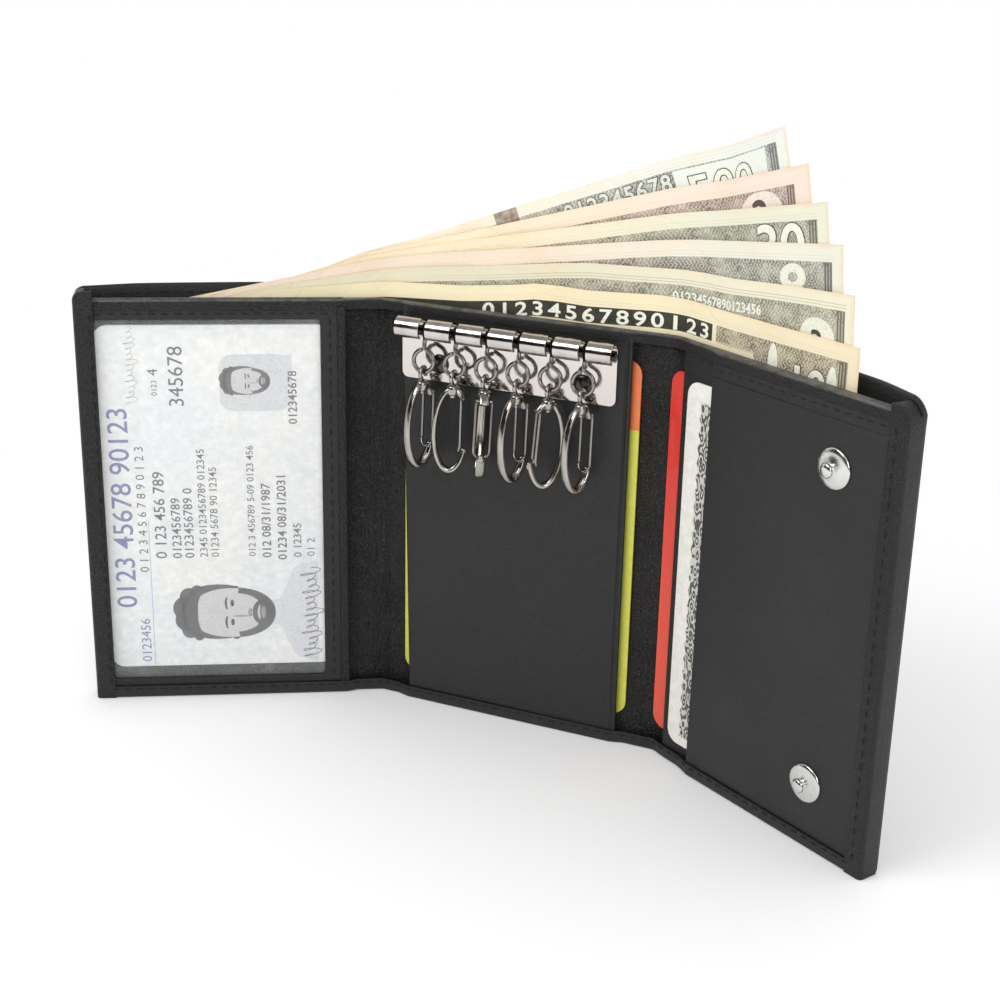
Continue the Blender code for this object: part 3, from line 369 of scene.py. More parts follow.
def node_group(name, inputs, outputs):
    """An empty group with named sockets. inputs holds (name, value), and a vector has no value."""
    tree = bpy.data.node_groups.new(name, "ShaderNodeTree")
    for label, value in inputs:
        kind = "Vector" if value is None else "Float"
        socket = tree.interface.new_socket(label, in_out="INPUT", socket_type="NodeSocket" + kind)
        if value is not None:
            socket.default_value = value
    for label in outputs:
        tree.interface.new_socket(label, in_out="OUTPUT", socket_type="NodeSocketFloat")
    graph = Graph(tree)
    return tree, graph, tree.nodes.new("NodeGroupInput").outputs, tree.nodes.new("NodeGroupOutput").inputs


def graph_of(material):
    """The graph and the shader of a material."""
    return Graph(material.node_tree), material.node_tree.nodes["Principled BSDF"]


def finish_for(name, colour, roughness, metallic=0.0, **more):
    """A material, its graph and its shader."""
    made = bpy.data.materials.new(name)
    made.use_nodes = True
    graph, shader = graph_of(made)
    graph.feed_all(shader, {"Base Color": colour, "Roughness": roughness, "Metallic": metallic, **more})
    return made, graph, shader


def lay_colour(g, shader, share, colour):
    """Covers a share of a finish's colour with another one."""
    socket = shader.inputs["Base Color"]
    g.feed(socket, g.mix(share, socket.links[0].from_socket, colour))


def add_relief(g, shader, height, distance):
    """Adds relief of distance millimetres to the relief that a finish has."""
    socket = shader.inputs["Normal"]
    relief = {"Distance": distance * MM, "Height": height, "Normal": socket.links[0].from_socket}
    g.feed(socket, g.node("Bump", relief).outputs[0])


def srgb(red, green, blue):
    """A colour written as 0 to 255 display values, as scene values with full alpha."""
    value = np.array([red, green, blue]) / 255
    linear = np.where(value <= 0.04045, value / 12.92, ((value + 0.055) / 1.055) ** 2.4)
    return (*linear.tolist(), 1.0)


def pebble_group():
    """Leather grain: rounded pebbles with creases between them, and slow changes of tone."""
    sockets = [("Vector", None), ("Pebble Size", 0.5), ("Crease", 0.5)]
    tree, g, given, out = node_group("leather_grain", sockets, ["Shade", "Rough", "Height"])
    scale = g.math("DIVIDE", 1.0, given["Pebble Size"])
    warp = g.noise(given["Vector"], g.times(scale, 0.6), 1.0)
    moved = g.node("VectorMath", {0: given["Vector"], 1: warp}, operation="ADD").outputs[0]
    tops = g.between(g.cells(moved, scale, "DISTANCE_TO_EDGE"), 0.0, 0.32)
    fine = g.noise(given["Vector"], g.times(scale, 2.5), 3.0, 0.6)
    slow = g.noise(given["Vector"], 0.06, 2.0)
    g.feed(out["Height"], g.plus(g.times(tops, given["Crease"]), g.times(fine, 0.5)))
    g.feed(out["Shade"], g.plus(g.times(tops, 0.35), g.times(slow, 0.65)))
    g.feed(out["Rough"], g.plus(g.times(fine, 0.4), g.times(slow, 0.6)))
    return tree


grain = pebble_group()


def leather_finish(name, dark, light, rough, pebble, crease, depth, coat=0.0):
    """Leather between two tones, with roughness from rough minus 0.1 to rough plus 0.1."""
    made, g, shader = finish_for(name, dark, rough)
    surface = g.group(grain, {"Vector": g.body(), "Pebble Size": pebble, "Crease": crease})
    g.feed_all(shader, {
        "Base Color": g.mix(g.between(surface["Shade"], 0.25, 0.75), dark, light),
        "Roughness": g.between(surface["Rough"], 0.3, 0.7, rough - 0.1, rough + 0.1),
        "Coat Weight": coat,
        "Coat Roughness": 0.35,
        "Normal": g.bump(surface["Height"], depth),
    })
    return made


leather = leather_finish("smooth_black_leather", srgb(15, 15, 16), srgb(32, 32, 32), 0.5, 0.6, 0.5, 0.1, 0.06)
# Turned edges and the mouth use a darker copy of the leather: painted shade that offsets the light their round
# edges catch
edge_leather, mouth_leather = (
    leather_finish(name, srgb(9, 9, 9), srgb(24, 23, 23), 0.46, 0.55, 0.8, 0.2, 0.1)
    for name in ("turned_edge_leather", "mouth_leather_painted_highlight")
)
lining = leather_finish("grained_black_lining", srgb(5, 5, 5), srgb(46, 44, 43), 0.46, 0.7, 1.0, 0.42, 0.1)
thread = leather_finish("black_thread", srgb(10, 10, 10), srgb(24, 23, 23), 0.6, 0.3, 1.0, 0.03)


def crease_lining():
    """Adds upright wrinkles to the lining on both sides of each fold: noise drawn out upwards, which fades
    to about a third from 3 to 13 mm away from the fold line."""
    g, shader = graph_of(lining)
    at = g.sheet()
    away = g.apart(g.math("ABSOLUTE", g.split(at)[0]), HALF_MIDDLE)
    ridges = g.noise(g.drawn(at, (1.5, 0.14, 1.0)), 1.0, 3.0, 0.6, 0.5)
    add_relief(g, shader, g.times(ridges, g.between(away, 13.0, 3.0, 0.35, 1.0)), 0.9)


def paint_mouth_highlight():
    """A painted highlight along the rolled mouth: a paler band, uneven along its length, that starts just
    below its top.
    """
    g, shader = graph_of(mouth_leather)
    height = g.split(g.sheet())[1]
    rise = g.between(height, LINING_TOP - 0.25, LINING_TOP + 0.15)
    fall = g.between(height, LINING_TOP + 0.9, LINING_TOP + 0.7)
    uneven = g.between(g.noise(g.body(), 0.35, 3.0, 0.6), 0.3, 0.6, 0.35, 1.0)
    # painted highlight: the paler colour stands for light caught by the rolled top
    lay_colour(g, shader, g.times(rise, fall, uneven), srgb(98, 96, 94))


crease_lining()
paint_mouth_highlight()


def bend_with(made, side):
    """Bakes a piece's transform into its mesh. The ends of the fold to the leaf on one side are worked out but
    not used.
    """
    start, end = (place(side * (HALF_MIDDLE + step), 0, 0) * MM for step in (-FOLD_REACH, FOLD_REACH))
    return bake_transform(made)


def on_leaf(made, side):
    """Lets a piece ride on a leaf."""
    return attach(made, LEAF[side])


def strip(name, first, last, section_at, finish):
    """A body that runs along the wallet. section_at gives its loop of depth and height at each place."""
    rings, places = [], []
    for along in stations(first, last):
        section = section_at(along)
        rings.append(place(along, section[:, 0], section[:, 1]))
        places.append(np.stack([np.full(len(section), along), section[:, 1]], -1))
    return swept(name, np.array(rings), finish, np.array(places))


def half_strip(name, side, reach, section_at, finish):
    """A strip from the middle of the wallet out to one side, which bends at that side's fold."""
    return bend_with(strip(f"{name}_{WORD[side]}", 0.0, side * reach, section_at, finish), side)


def shell_section(along):
    """Back leather, bottom and turned bottom edge as one J-shaped loop with round corners, which follows
    the swell of the mouth and the pinched free edge."""
    front = front_of(LIP_FRONT, along)
    back, inside = SHELL_BACK - pinch(along), SHELL_FRONT - pinch(along)
    top = SHELL_TOP - corner_drop(along)
    shares = np.array([84, 88, 91, 94, 96.5, 98.5]) / SHELL_TOP
    outer = [(back + bulge(along, top * s), top * s) for s in shares]
    inner = [(inside + bulge(along, top * s) - 0.12 * smooth_step(s, 0.93, 0.97), top * s) for s in shares]
    corners = [(front, LIP_HEIGHT), (front, 0.0), (back, 0.0), *outer,
               (back + bulge(along, top) + 0.05, top), (inside + bulge(along, top) - 0.25, top), *inner[::-1],
               (inside, LIP_FLOOR), (front + LIP_SHEET, LIP_FLOOR), (front + LIP_SHEET, LIP_HEIGHT)]
    none = [0.0] * len(shares)
    return rounded_loop(corners, [0.22, 0.7, 0.9, *none, 0.7, 0.7, *none, 0.2, 0.1, 0.22])


def lining_section(along):
    """The lining, which sinks a little into each fold so that the fold shows as a groove."""
    groove = 0.35 * np.exp(-((abs(along) - HALF_MIDDLE) / 1.4) ** 2)
    bottom, top = PANEL_BOTTOM, LINING_TOP - 0.4
    corners = [(groove, bottom), (LINING_BACK, bottom), (LINING_BACK, top), (groove, top)]
    return rounded_loop(corners, [0.1, 0.1, 0.2, 0.2], 3)


def binding_section(along, front=None, back=BINDING_BACK):
    """The rolled edge of the note compartment's front wall."""
    front = front_of(BINDING_FRONT, along) if front is None else front
    top = LINING_TOP + 0.25 - 0.8 * corner_drop(along)
    roll = min(1.0, 0.45 * (back - front))
    return rounded_loop([(front, top - 2.5), (front - 0.08, top), (back, top), (back, top - 2.5)],
                        [0.25, roll, 0.9 * roll, 0.2], 6)


def card_slot_edges():
    """The left leaf's mouth beyond the fold: two rolled edges with the identity card's slot between them."""
    first, last = -(HALF_MIDDLE + SLOT_START), -(HALF_MIDDLE + WIDTH[-1] - 0.5)
    for word, front, back in (("front", None, -1.06), ("back", 0.02, BINDING_BACK)):
        def section(along):
            return binding_section(along, front, back)
        on_leaf(strip("card_slot_edge_" + word, first, last, section, mouth_leather), -1)


def edge_front(side):
    """Depth of the front face of a free side's turned edge, just before the lip's at 99 mm along."""
    return front_of(LIP_FRONT, side * 99.0) - EDGE_STEP


def side_edge(side):
    """The turned edge up a free side: a U-shaped section with round corners, swept upwards, with the same
    round top corner as the shell."""
    front, back = edge_front(side), SHELL_BACK - PINCH_DEPTH - EDGE_STEP
    end = HALF_MIDDLE + WIDTH[side]
    inner, behind = end - EDGE_WIDTH, front + LIP_SHEET
    top, radius = LINING_TOP + EDGE_RISE[side], CORNER_RADIUS[side]
    turn = np.linspace(0, math.pi / 2, 9)[1:-1]
    rings, places = [], []
    for height in (*np.linspace(EDGE_STEP, top - radius, 24), *(top - radius * (1 - np.sin(turn)))):
        over = max(0.0, radius - (top - height))
        outer = end - (radius - math.sqrt(max(radius**2 - over**2, 0.0)))
        wall = outer - EDGE_LEATHER
        corners = [(inner, front), (outer, front), (outer, back),
                   (wall, back), (wall, behind), (inner, behind)]
        section = rounded_loop(corners, [0.2, 1.0, 0.9, 0.2, 0.1, 0.2])
        rings.append(place(side * section[:, 0], section[:, 1], height))
        places.append(np.stack([side * section[:, 0], np.full(len(section), height)], -1))
    on_leaf(swept(f"side_edge_{WORD[side]}", np.array(rings), edge_leather, np.array(places)), side)


# A stitch's radius, and its rings and the points round each
STITCH_RADIUS, STITCH_STEPS, STITCH_AROUND = 0.2, 5, 6


def stitches(name, route, pitch=2.9, length=2.1):
    """A row of sewn stitches along a route of (along, depth, height): each stitch is a short spindle whose
    radius is the square root of one minus 0.9 times the fourth power of its place from its own middle."""
    route = np.asarray(route, float)
    lengths = np.r_[0, np.cumsum(np.linalg.norm(np.diff(route[:, [0, 2]], axis=0), axis=1))]
    count = max(1, int(lengths[-1] / pitch))
    starts = (np.arange(count) + 0.5) * lengths[-1] / count - length / 2
    shares = np.linspace(0, 1, STITCH_STEPS)
    spots = starts[:, None] + length * shares
    along, depth, height = (np.interp(spots, lengths, route[:, k]) for k in range(3))
    spine = place(along, depth + 0.12 * (2 * shares - 1) ** 2, height)
    ahead = np.gradient(spine, axis=1)
    ahead /= np.linalg.norm(ahead, axis=2, keepdims=True)
    outwards_step = place(along, depth - 1, height) - place(along, depth, height)
    across = np.cross(ahead, outwards_step)
    size = STITCH_RADIUS * np.sqrt(1 - np.abs(2 * shares - 1) ** 4 * 0.9)[None, :, None, None]
    turn = np.linspace(0, math.tau, STITCH_AROUND + 1)[:-1]
    c, s = np.cos(turn)[:, None], np.sin(turn)[:, None]
    ring = across[:, :, None, :] * c + outwards_step[:, :, None, :] * s
    points = spine[:, :, None, :] + ring * size
    full = STITCH_STEPS * STITCH_AROUND
    one = grid_faces(STITCH_STEPS, STITCH_AROUND)
    one += [range(STITCH_AROUND - 1, -1, -1), range(full - STITCH_AROUND, full)]
    faces = [[k * full + i for i in face] for k in range(count) for face in one]
    return mesh_object(name, points.reshape(-1, 3), faces, thread, angle=70.0)


def along_row(name, height, depth_at, margin):
    """A row of stitches at one height up to margin from the free sides, in two halves that each bend."""
    for side, word in WORD.items():
        end = side * (HALF_MIDDLE + WIDTH[side] - margin)
        route = [(a, depth_at(a), height) for a in stations(0.0, end, 2.0)]
        bend_with(stitches(f"{name}_{word}", route), side)


def leather_pieces():
    """The back leather, side edges, lining, mouth and the long rows of stitches."""
    for side, word in WORD.items():
        end = HALF_MIDDLE + WIDTH[side]
        made = half_strip("back_leather", side, end - 0.35, shell_section, leather)
        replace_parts(made, "outer_shell_" + word, "outer_fold_" + word, "outer_shell_middle")
        side_edge(side)
        made = half_strip("lining_sheet", side, end - 1.2, lining_section, lining)
        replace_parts(made, "lining_" + word, "lining_fold_" + word, "lining_middle")
        reach = end - 0.5 if side > 0 else HALF_MIDDLE + BINDING_END
        half_strip("mouth_binding", side, reach, binding_section, mouth_leather)
    card_slot_edges()
    top_row = 99.7
    along_row("bottom_stitches", 2.2, lambda a: front_of(LIP_FRONT, a) - 0.05, 3.0)
    along_row("back_top_stitches", top_row, lambda a: SHELL_FRONT - pinch(a) + bulge(a, top_row) - 0.12, 4.0)


def pressed_finish(name, axis, line):
    """Smooth leather with one pressed line where the sheet's x (axis 0) or height (axis 1) equals line."""
    made = leather_finish(name, srgb(15, 15, 16), srgb(31, 31, 31), 0.5, 0.6, 0.35, 0.06, 0.06)
    g, shader = graph_of(made)
    add_relief(g, shader, g.between(g.apart(g.split(g.sheet())[axis], line), 0.0, 0.5), 0.3)
    return made


def flipped(outline, side):
    """An outline in run and height as one in along and height."""
    return np.stack([side * (HALF_MIDDLE + outline[:, 0]), outline[:, 1]], -1)[::side]


def ring_panel(name, outer, inner, front, back, finish):
    """A flat frame between two outlines of equal count, with a round-edged section."""
    soft = 0.25
    rings, depths = [], []
    for rim, inwards, turns in ((outer, soft, (0, 1, 2)), (inner, -soft, (2, 1, 0))):
        for t in np.array(turns) * math.pi / 4:
            rings.append(inset(rim, inwards * (1 - math.cos(t))))
            depths.append(front + soft * (1 - math.sin(t)))
    return layered(name, [*rings, inner, outer], [*depths, back, back], finish, ring=True)


# The identity-card window on the left leaf, the key flap and the card pockets, as run or along and height
WINDOW = (14.5, 65.7, 4.9, 94.6)
FRAME_START = 8.6
FLAP_LEFT_TOP, FLAP_LEFT_BOTTOM, FLAP_RIGHT = -29.9, -27.8, 26.1
DIVIDER_START, POCKET_TOP, POCKET_BOTTOM = 3.4, 13.5, 12.9
# A card's width, height and corner radius
CARD = (54.0, 85.6, 3.2)
# Depths of the front and back faces of the flat layers
LAYERS = {
    "frame": (-2.0, -1.4), "frame_edge": (-2.45, -1.3), "film": (-1.2, -1.08), "flap": (-1.96, -1.1),
    "divider": (-1.22, -0.8), "pocket": (-2.62, -1.95),
}
# How far the middle of a stitch lies in front of its leather
STITCH_LIFT = 0.02


def window_and_pockets():
    """The card window with its film, the key flap, the divider, the pocket and their stitches."""
    def layer(name, outline, side, kind, finish, soft, *nodes):
        made = panel(name, outline, *LAYERS[kind], finish, soft)
        on_leaf(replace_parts(made, *nodes) if nodes else made, side)

    outer = {side: WIDTH[side] - 1.0 for side in WORD}
    frame_outline = flipped(rectangle(FRAME_START, outer[-1], PANEL_BOTTOM, PANEL_TOP, 0.5), -1)
    opening = flipped(rectangle(*WINDOW, 0.9), -1)
    made = ring_panel("window_frame_leather", frame_outline, opening, *LAYERS["frame"], leather)
    on_leaf(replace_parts(made, "id_window_frame"), -1)
    rolled = flipped(rectangle(FRAME_START - 0.1, FRAME_START + 2.1, PANEL_BOTTOM, LINING_TOP - 1.2, 0.5), -1)
    layer("window_frame_edge", rolled, -1, "frame_edge", edge_leather, 0.5)
    left, right, bottom, top = WINDOW
    film = flipped(rectangle(left - 2, right + 2, bottom - 2, top + 2), -1)
    layer("window_film", film, -1, "film", film_finish(), 0.05, "id_window_film")
    flap_top = LINING_TOP - 0.5
    flap = rounded_loop([(FLAP_RIGHT, PANEL_BOTTOM), (FLAP_RIGHT, flap_top), (FLAP_LEFT_TOP, flap_top),
                         (FLAP_LEFT_BOTTOM, PANEL_BOTTOM)], 0.8)
    flap_finish = pressed_finish("flap_leather", 0, FLAP_RIGHT - 1.1)
    layer("key_flap_leather", flap, 0, "flap", flap_finish, 0.42, "key_flap")
    divider = flipped(rectangle(DIVIDER_START, outer[1], PANEL_BOTTOM, PANEL_TOP, 0.4), 1)
    layer("divider_leather", divider, 1, "divider", leather, 0.2, "card_divider")
    pocket = flipped(rounded_loop([(outer[1], PANEL_BOTTOM), (outer[1], PANEL_TOP), (POCKET_TOP, PANEL_TOP),
                                   (POCKET_BOTTOM, PANEL_BOTTOM)], 0.6), 1)
    pocket_finish = pressed_finish("pocket_leather", 1, 93.7)
    layer("pocket_leather", pocket, 1, "pocket", pocket_finish, 0.33, "card_pocket")
    # Rows of stitches: name, side, depth of the leather, and the ends as run (or along) and height
    frame_front, flap_front, divider_front, pocket_front = (
        LAYERS[kind][0] for kind in ("frame", "flap", "divider", "pocket"))
    rows = (
        ("window_side", -1, frame_front, (12.3, 4.2), (12.3, 95.5)),
        ("window_top", -1, frame_front, (WIDTH[-1] - 4, 96.0), (9.0, 96.0)),
        ("left_side", -1, edge_front(-1), (WIDTH[-1] - 3.7, 3.5), (WIDTH[-1] - 3.7, 96.5)),
        ("right_side", 1, edge_front(1), (WIDTH[1] - 2.9, 3.0), (WIDTH[1] - 2.9, 97.0)),
        ("pocket_top", 1, pocket_front, (14.5, 95.7), (WIDTH[1] - 5, 95.7)),
        ("divider_top", 1, divider_front, (4.2, 95.9), (13.0, 95.9)),
        ("flap_top", 0, flap_front, (FLAP_LEFT_TOP + 1, 96.0), (FLAP_RIGHT - 1, 96.0)),
    )
    for name, side, front, first, last in rows:
        run, height = np.linspace(first, last, 30).T
        along = side * (HALF_MIDDLE + run) if side else run
        route = np.stack([along, np.full(30, front - STITCH_LIFT), height], -1)
        on_leaf(stitches(name + "_stitches", route), side)
    for side, first, last in ((-1, 30.8, 43.5), (1, 27.0, 38.6)):
        route = [(side * a, 0.1, 96.0) for a in np.linspace(first, last, 12)]
        bend_with(stitches(f"fold_stitches_{WORD[side]}", route, 2.2, 1.5), side)


def film_finish():
    """Clear film with a grey haze and fine scratches, slightly wavy."""
    made, g, shader = finish_for("clear_film", srgb(226, 230, 231), 0.12, **{"Coat Weight": 0.6})
    at = g.sheet()
    haze = g.between(g.noise(at, 0.09, 4.0, 0.65, 1.5), 0.45, 0.75)
    scratch = g.between(g.noise(g.drawn(at, (0.25, 2.4, 1.0), 0.5), 0.8, 3.0, 0.7, 2.0), 0.66, 0.74)
    g.feed_all(shader, {
        "Alpha": g.plus(g.plus(g.times(haze, 0.05), g.times(scratch, 0.12)), 0.1),
        "Roughness": g.between(haze, 0.0, 1.0, 0.08, 0.3),
        "Normal": g.bump(g.noise(at, 0.05, 3.0, 0.6, 1.0), 0.5),
    })
    return made


def card_finish(name, colour_of, rough=0.32):
    """Card plastic: colour_of(graph, at, x, y) gives its colour from the sheet place, under faint scuffs."""
    made, g, shader = finish_for(name, (0.8, 0.8, 0.8, 1.0), rough)
    at = g.sheet()
    scuffs = g.between(g.noise(at, 0.5, 4.0, 0.7), 0.35, 0.7)
    g.feed_all(shader, {
        "Base Color": g.value(colour_of(g, at, *g.split(at)[:2]), g.between(scuffs, 0.0, 1.0, 0.93, 1.04)),
        "Roughness": g.between(scuffs, 0.0, 1.0, rough, rough + 0.18),
        "Coat Weight": 0.25,
    })
    return made


def card(name, side, start, bottom, front, finish, width):
    """One card. The back of a card that lies over the divider is at -1.35, and of the others at -0.15."""
    outline = rectangle(start, start + width, bottom, bottom + CARD[1], CARD[2])
    if side:
        outline = flipped(outline, side)
    back = -0.15 if front > -1.3 else -1.35
    made = panel(name + "_plastic", outline, front, back, finish, 0.1)
    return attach(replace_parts(made, name), name)


def identity_colour(g, at, x, y):
    """Near white with fine wavy blue security lines, which are stronger towards the bottom."""
    wave = g.sine(g.plus(g.times(y, 3.1), g.times(g.sine(g.times(x, 0.55)), 4.0)))
    tint = g.mix(g.between(g.noise(at, 0.05, 2.0), 0.35, 0.65), srgb(255, 254, 250), srgb(246, 249, 250))
    low = g.between(y, 60.0, 10.0, 0.03, 0.1)
    return g.mix(g.times(g.between(wave, 0.55, 0.95), low), tint, srgb(196, 208, 228))


def loyalty_colour(g, at, x, y):
    """Orange above and yellow-green below a straight boundary, both with painted shade between their two
    sides: darker from 4 to 27.7 mm along and darkest from 16 to 24.6 mm, under the key flap near its right
    edge.
    """
    # painted shade: bright is the unshaded share, and the darker orange and yellow are shaded copies
    bright = g.math("MAXIMUM", g.between(x, 24.6, 27.7), g.between(x, 16.0, 4.0))
    orange = g.mix(bright, srgb(168, 52, 22), srgb(228, 122, 58))
    yellow = g.mix(bright, srgb(120, 135, 30), srgb(206, 206, 74))
    return g.mix(g.math("GREATER_THAN", y, 76.8), yellow, orange)


def red_colour(g, at, x, y):
    """Red that grows lighter towards the bottom."""
    return g.mix(g.between(y, 10.0, 90.0), srgb(226, 84, 62), srgb(214, 40, 27))


def white_colour(g, at, x, y):
    """Off-white with an engraved grey border of linked ovals beside the pocket's edge."""
    into = g.minus(x, g.plus(HALF_MIDDLE + 9.4, g.times(y, 0.006)))
    ripple = g.times(g.sine(g.times(y, 1.9)), 0.25)
    border = g.times(g.between(g.plus(into, ripple), 0.0, 0.25), g.between(into, 4.6, 4.4))
    ovals = g.cells(g.drawn(at, (0.8, 0.42, 1.0)), 1.0)
    lines = g.between(g.sine(g.times(ovals, 15.0)), -0.3, 0.5)
    ends = g.times(g.between(y, 7.5, 8.3), g.between(y, 87.5, 86.7))
    ink_share = g.times(border, ends, g.minus(1.0, g.times(lines, 0.72)), 0.95)
    return g.mix(ink_share, srgb(236, 234, 226), srgb(48, 50, 50))


# Depth of each card's front face, and the identity card's place
CARD_FRONTS = {"id_card": -0.91, "loyalty_card": -0.65, "red_card": -0.65, "white_card": -1.85}
ID_CARD_START, ID_CARD_BOTTOM = 12.1, 7.6


def cards():
    """The four cards: name, name of the finish, side, run (or along) of the near edge, bottom, colours,
    roughness and width."""
    rows = (
        ("id_card", "identity_card", -1, ID_CARD_START, ID_CARD_BOTTOM, identity_colour, 0.32, CARD[0]),
        ("loyalty_card", "loyalty_card", 0, -29.6, 7.0, loyalty_colour, 0.32, 57.6),
        ("red_card", "red_card", 1, -0.9, 6.4, red_colour, 0.4, CARD[0]),
        ("white_card", "white_card", 1, 5.6, 5.6, white_colour, 0.32, CARD[0]),
    )
    for name, finish_name, side, start, bottom, colour_of, rough, width in rows:
        finish = card_finish(finish_name, colour_of, rough)
        card(name, side, start, bottom, CARD_FRONTS[name], finish, width)


def glyphs(text, size, bold=0.0):
    """Outlines of plain numbers and marks as flat points and faces, with the first baseline at zero."""
    curve = bpy.data.curves.new("figures", "FONT")
    curve.body, curve.size, curve.offset, curve.resolution_u = text, size, bold, 5 if size > 4 else 2
    holder = bpy.data.objects.new("figures", curve)
    mesh = bpy.data.meshes.new_from_object(holder)
    points = np.empty(len(mesh.vertices) * 3)
    mesh.vertices.foreach_get("co", points)
    faces = [list(face.vertices) for face in mesh.polygons]
    bpy.data.objects.remove(holder)
    bpy.data.curves.remove(curve)
    bpy.data.meshes.remove(mesh)
    return points.reshape(-1, 3)[:, :2], faces


def oval(centre, half_width, half_height, power=2.0, first=0.0, last=360.0, count=28):
    """Points of a superellipse, or of a stretch of it."""
    t = np.radians(np.linspace(first, last, count, endpoint=last - first < 360))
    c, s = np.cos(t), np.sin(t)
    return np.stack([centre[0] + half_width * np.sign(c) * np.abs(c) ** (2 / power),
                     centre[1] + half_height * np.sign(s) * np.abs(s) ** (2 / power)], -1)


def crescent(outer, inner):
    """Points and faces between two curves of equal count."""
    count = len(outer)
    faces = [[k, k + 1, count + k + 1, count + k] for k in range(count - 1)]
    return np.concatenate([outer, inner]), faces


def fan(outline):
    """An outline as one flat shape."""
    return outline, [list(range(len(outline)))]


def printed(name, shapes, surface, finish):
    """Flat printed shapes laid on a surface, which maps flat points to places in millimetres."""
    points, faces, first = [], [], 0
    for shape_points, shape_faces in shapes:
        points.append(shape_points)
        faces += [[first + i for i in face] for face in shape_faces]
        first += len(shape_points)
    return mesh_object(name, surface(np.concatenate(points)), faces, finish, angle=180.0)


def id_surface(lift):
    """The identity card is read from its free side: x runs up the leaf, y towards the free edge."""
    def surface(points):
        along = -(HALF_MIDDLE + ID_CARD_START + points[:, 1])
        return place(along, CARD_FRONTS["id_card"] - lift, ID_CARD_BOTTOM + points[:, 0])
    return surface


def ink(name, colour):
    """Printer's ink with slightly uneven cover."""
    made, g, shader = finish_for(name, srgb(*colour), 0.5)
    g.feed(shader.inputs["Alpha"], g.between(g.noise(g.body(), 2.2, 3.0, 0.7), 0.3, 0.5, 0.72, 1.0))
    return made


def on_id_card(name, shapes, lift, ink_name, tone):
    """Print on the identity card."""
    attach(printed(name, shapes, id_surface(lift), ink(ink_name, tone)), "id_card")


def portrait(name, x, y, size, strength):
    """A calm front view of nobody: eyes at mid-height, the nose's base near halfway from there to the
    chin, the mouth about halfway between that and the chin, with short hair and a short beard."""
    tones = {"hair": (74, 71, 74), "skin": (218, 215, 216), "cloth": (228, 228, 232),
             "shade": (158, 152, 156), "mark": (52, 49, 52)}
    tones = {key: tuple(int(240 - (240 - v) * strength) for v in value) for key, value in tones.items()}

    def at(points):
        return np.asarray(points) * (0.87 * size, size) + (x, y)

    def shape(*oval_given, **more):
        return fan(at(oval(*oval_given, **more)))

    jaw = oval((0, 0.0), 0.95, 1.3, 2.2, 188, 352, 21)
    beard = oval((0, -0.02), 0.74, 0.92, 2.2, 188, 352, 21)
    beard[:, 1] += 0.12 * np.exp(-((beard[:, 0]) / 0.3) ** 2)
    hairline = (oval((0, 0.5), 0.96, 0.9, 2.2, 0, 180, 15), oval((0, 0.62), 0.86, 0.42, 2.6, 0, 180, 15))
    whiskers = (oval((0, -0.9), 0.47, 0.3), oval((0, -0.92), 0.34, 0.17))
    arcs = ((0.14, 0.09), (0.12, 0.04))
    brows = [[oval((s * 0.36, up), 0.24, half, 2, 15, 165, 9) for up, half in arcs] for s in (-1, 1)]
    curls = ((-0.84, 1.02, 0.2), (-0.62, 1.28, 0.32), (-0.25, 1.4, 0.4), (0.2, 1.42, 0.44), (0.6, 1.28, 0.36),
             (0.84, 1.04, 0.22))
    shoulders = rounded_loop([(1.9, -2.6), (1.75, -1.9), (0.5, -1.45), (0.42, -1.0), (-0.42, -1.0),
                              (-0.5, -1.45), (-1.75, -1.9), (-1.9, -2.6)], [0, .4, .2, 0, 0, .2, .4, 0])
    layers = (
        ("cloth", [fan(at(shoulders))]),
        ("hair", [shape((0.04, 0.42), 1.04, 1.1, 2.4), shape((0, -0.1), 1.02, 0.3),
                  *(shape((a, b), r, 0.8 * r) for a, b, r in curls)]),
        ("skin", [shape((0, 0.0), 0.93, 1.27, 2.2, count=36)]),
        ("hair", [crescent(at(outer), at(inner)) for outer, inner in ((jaw, beard), hairline, whiskers)]),
        ("mark", [*(shape((s * 0.36, 0.0), 0.13, 0.055) for s in (-1, 1)),
                  *(crescent(at(outer), at(inner)) for outer, inner in brows),
                  *(shape((s * 0.09, -0.56), 0.05, 0.025) for s in (-1, 1))]),
        ("shade", [shape((0, -0.93), 0.24, 0.07), shape((0, -0.52), 0.16, 0.05),
                   shape((-0.13, -0.25), 0.035, 0.26)]),
    )
    for k, (tone, shapes) in enumerate(layers):
        on_id_card(f"{name}_{k}", shapes, 0.012 + 0.006 * k, f"{name}_{tone}_{k}", tones[tone])


def scribble(x, y, length, height, waves, width):
    """A pen line of loops: x moves on evenly while both axes swing, with a few taller strokes."""
    t = np.linspace(0, 1, 40 * waves)
    swing, tall = np.sin(math.tau * waves * t), 0.2 + 0.34 * np.sin(math.pi * waves * 0.29 * t + 0.9) ** 6
    across = np.stack([x + length * t + 0.13 * height * np.cos(math.tau * waves * t + 0.6),
                       y + height * (0.42 + tall * swing + 0.08 * np.sin(math.tau * waves * 0.23 * t))], -1)
    ahead = np.gradient(across, axis=0)
    side_step = np.stack([-ahead[:, 1], ahead[:, 0]], -1) / np.linalg.norm(ahead, axis=1)[:, None] * width / 2
    return crescent(across + side_step, across - side_step)


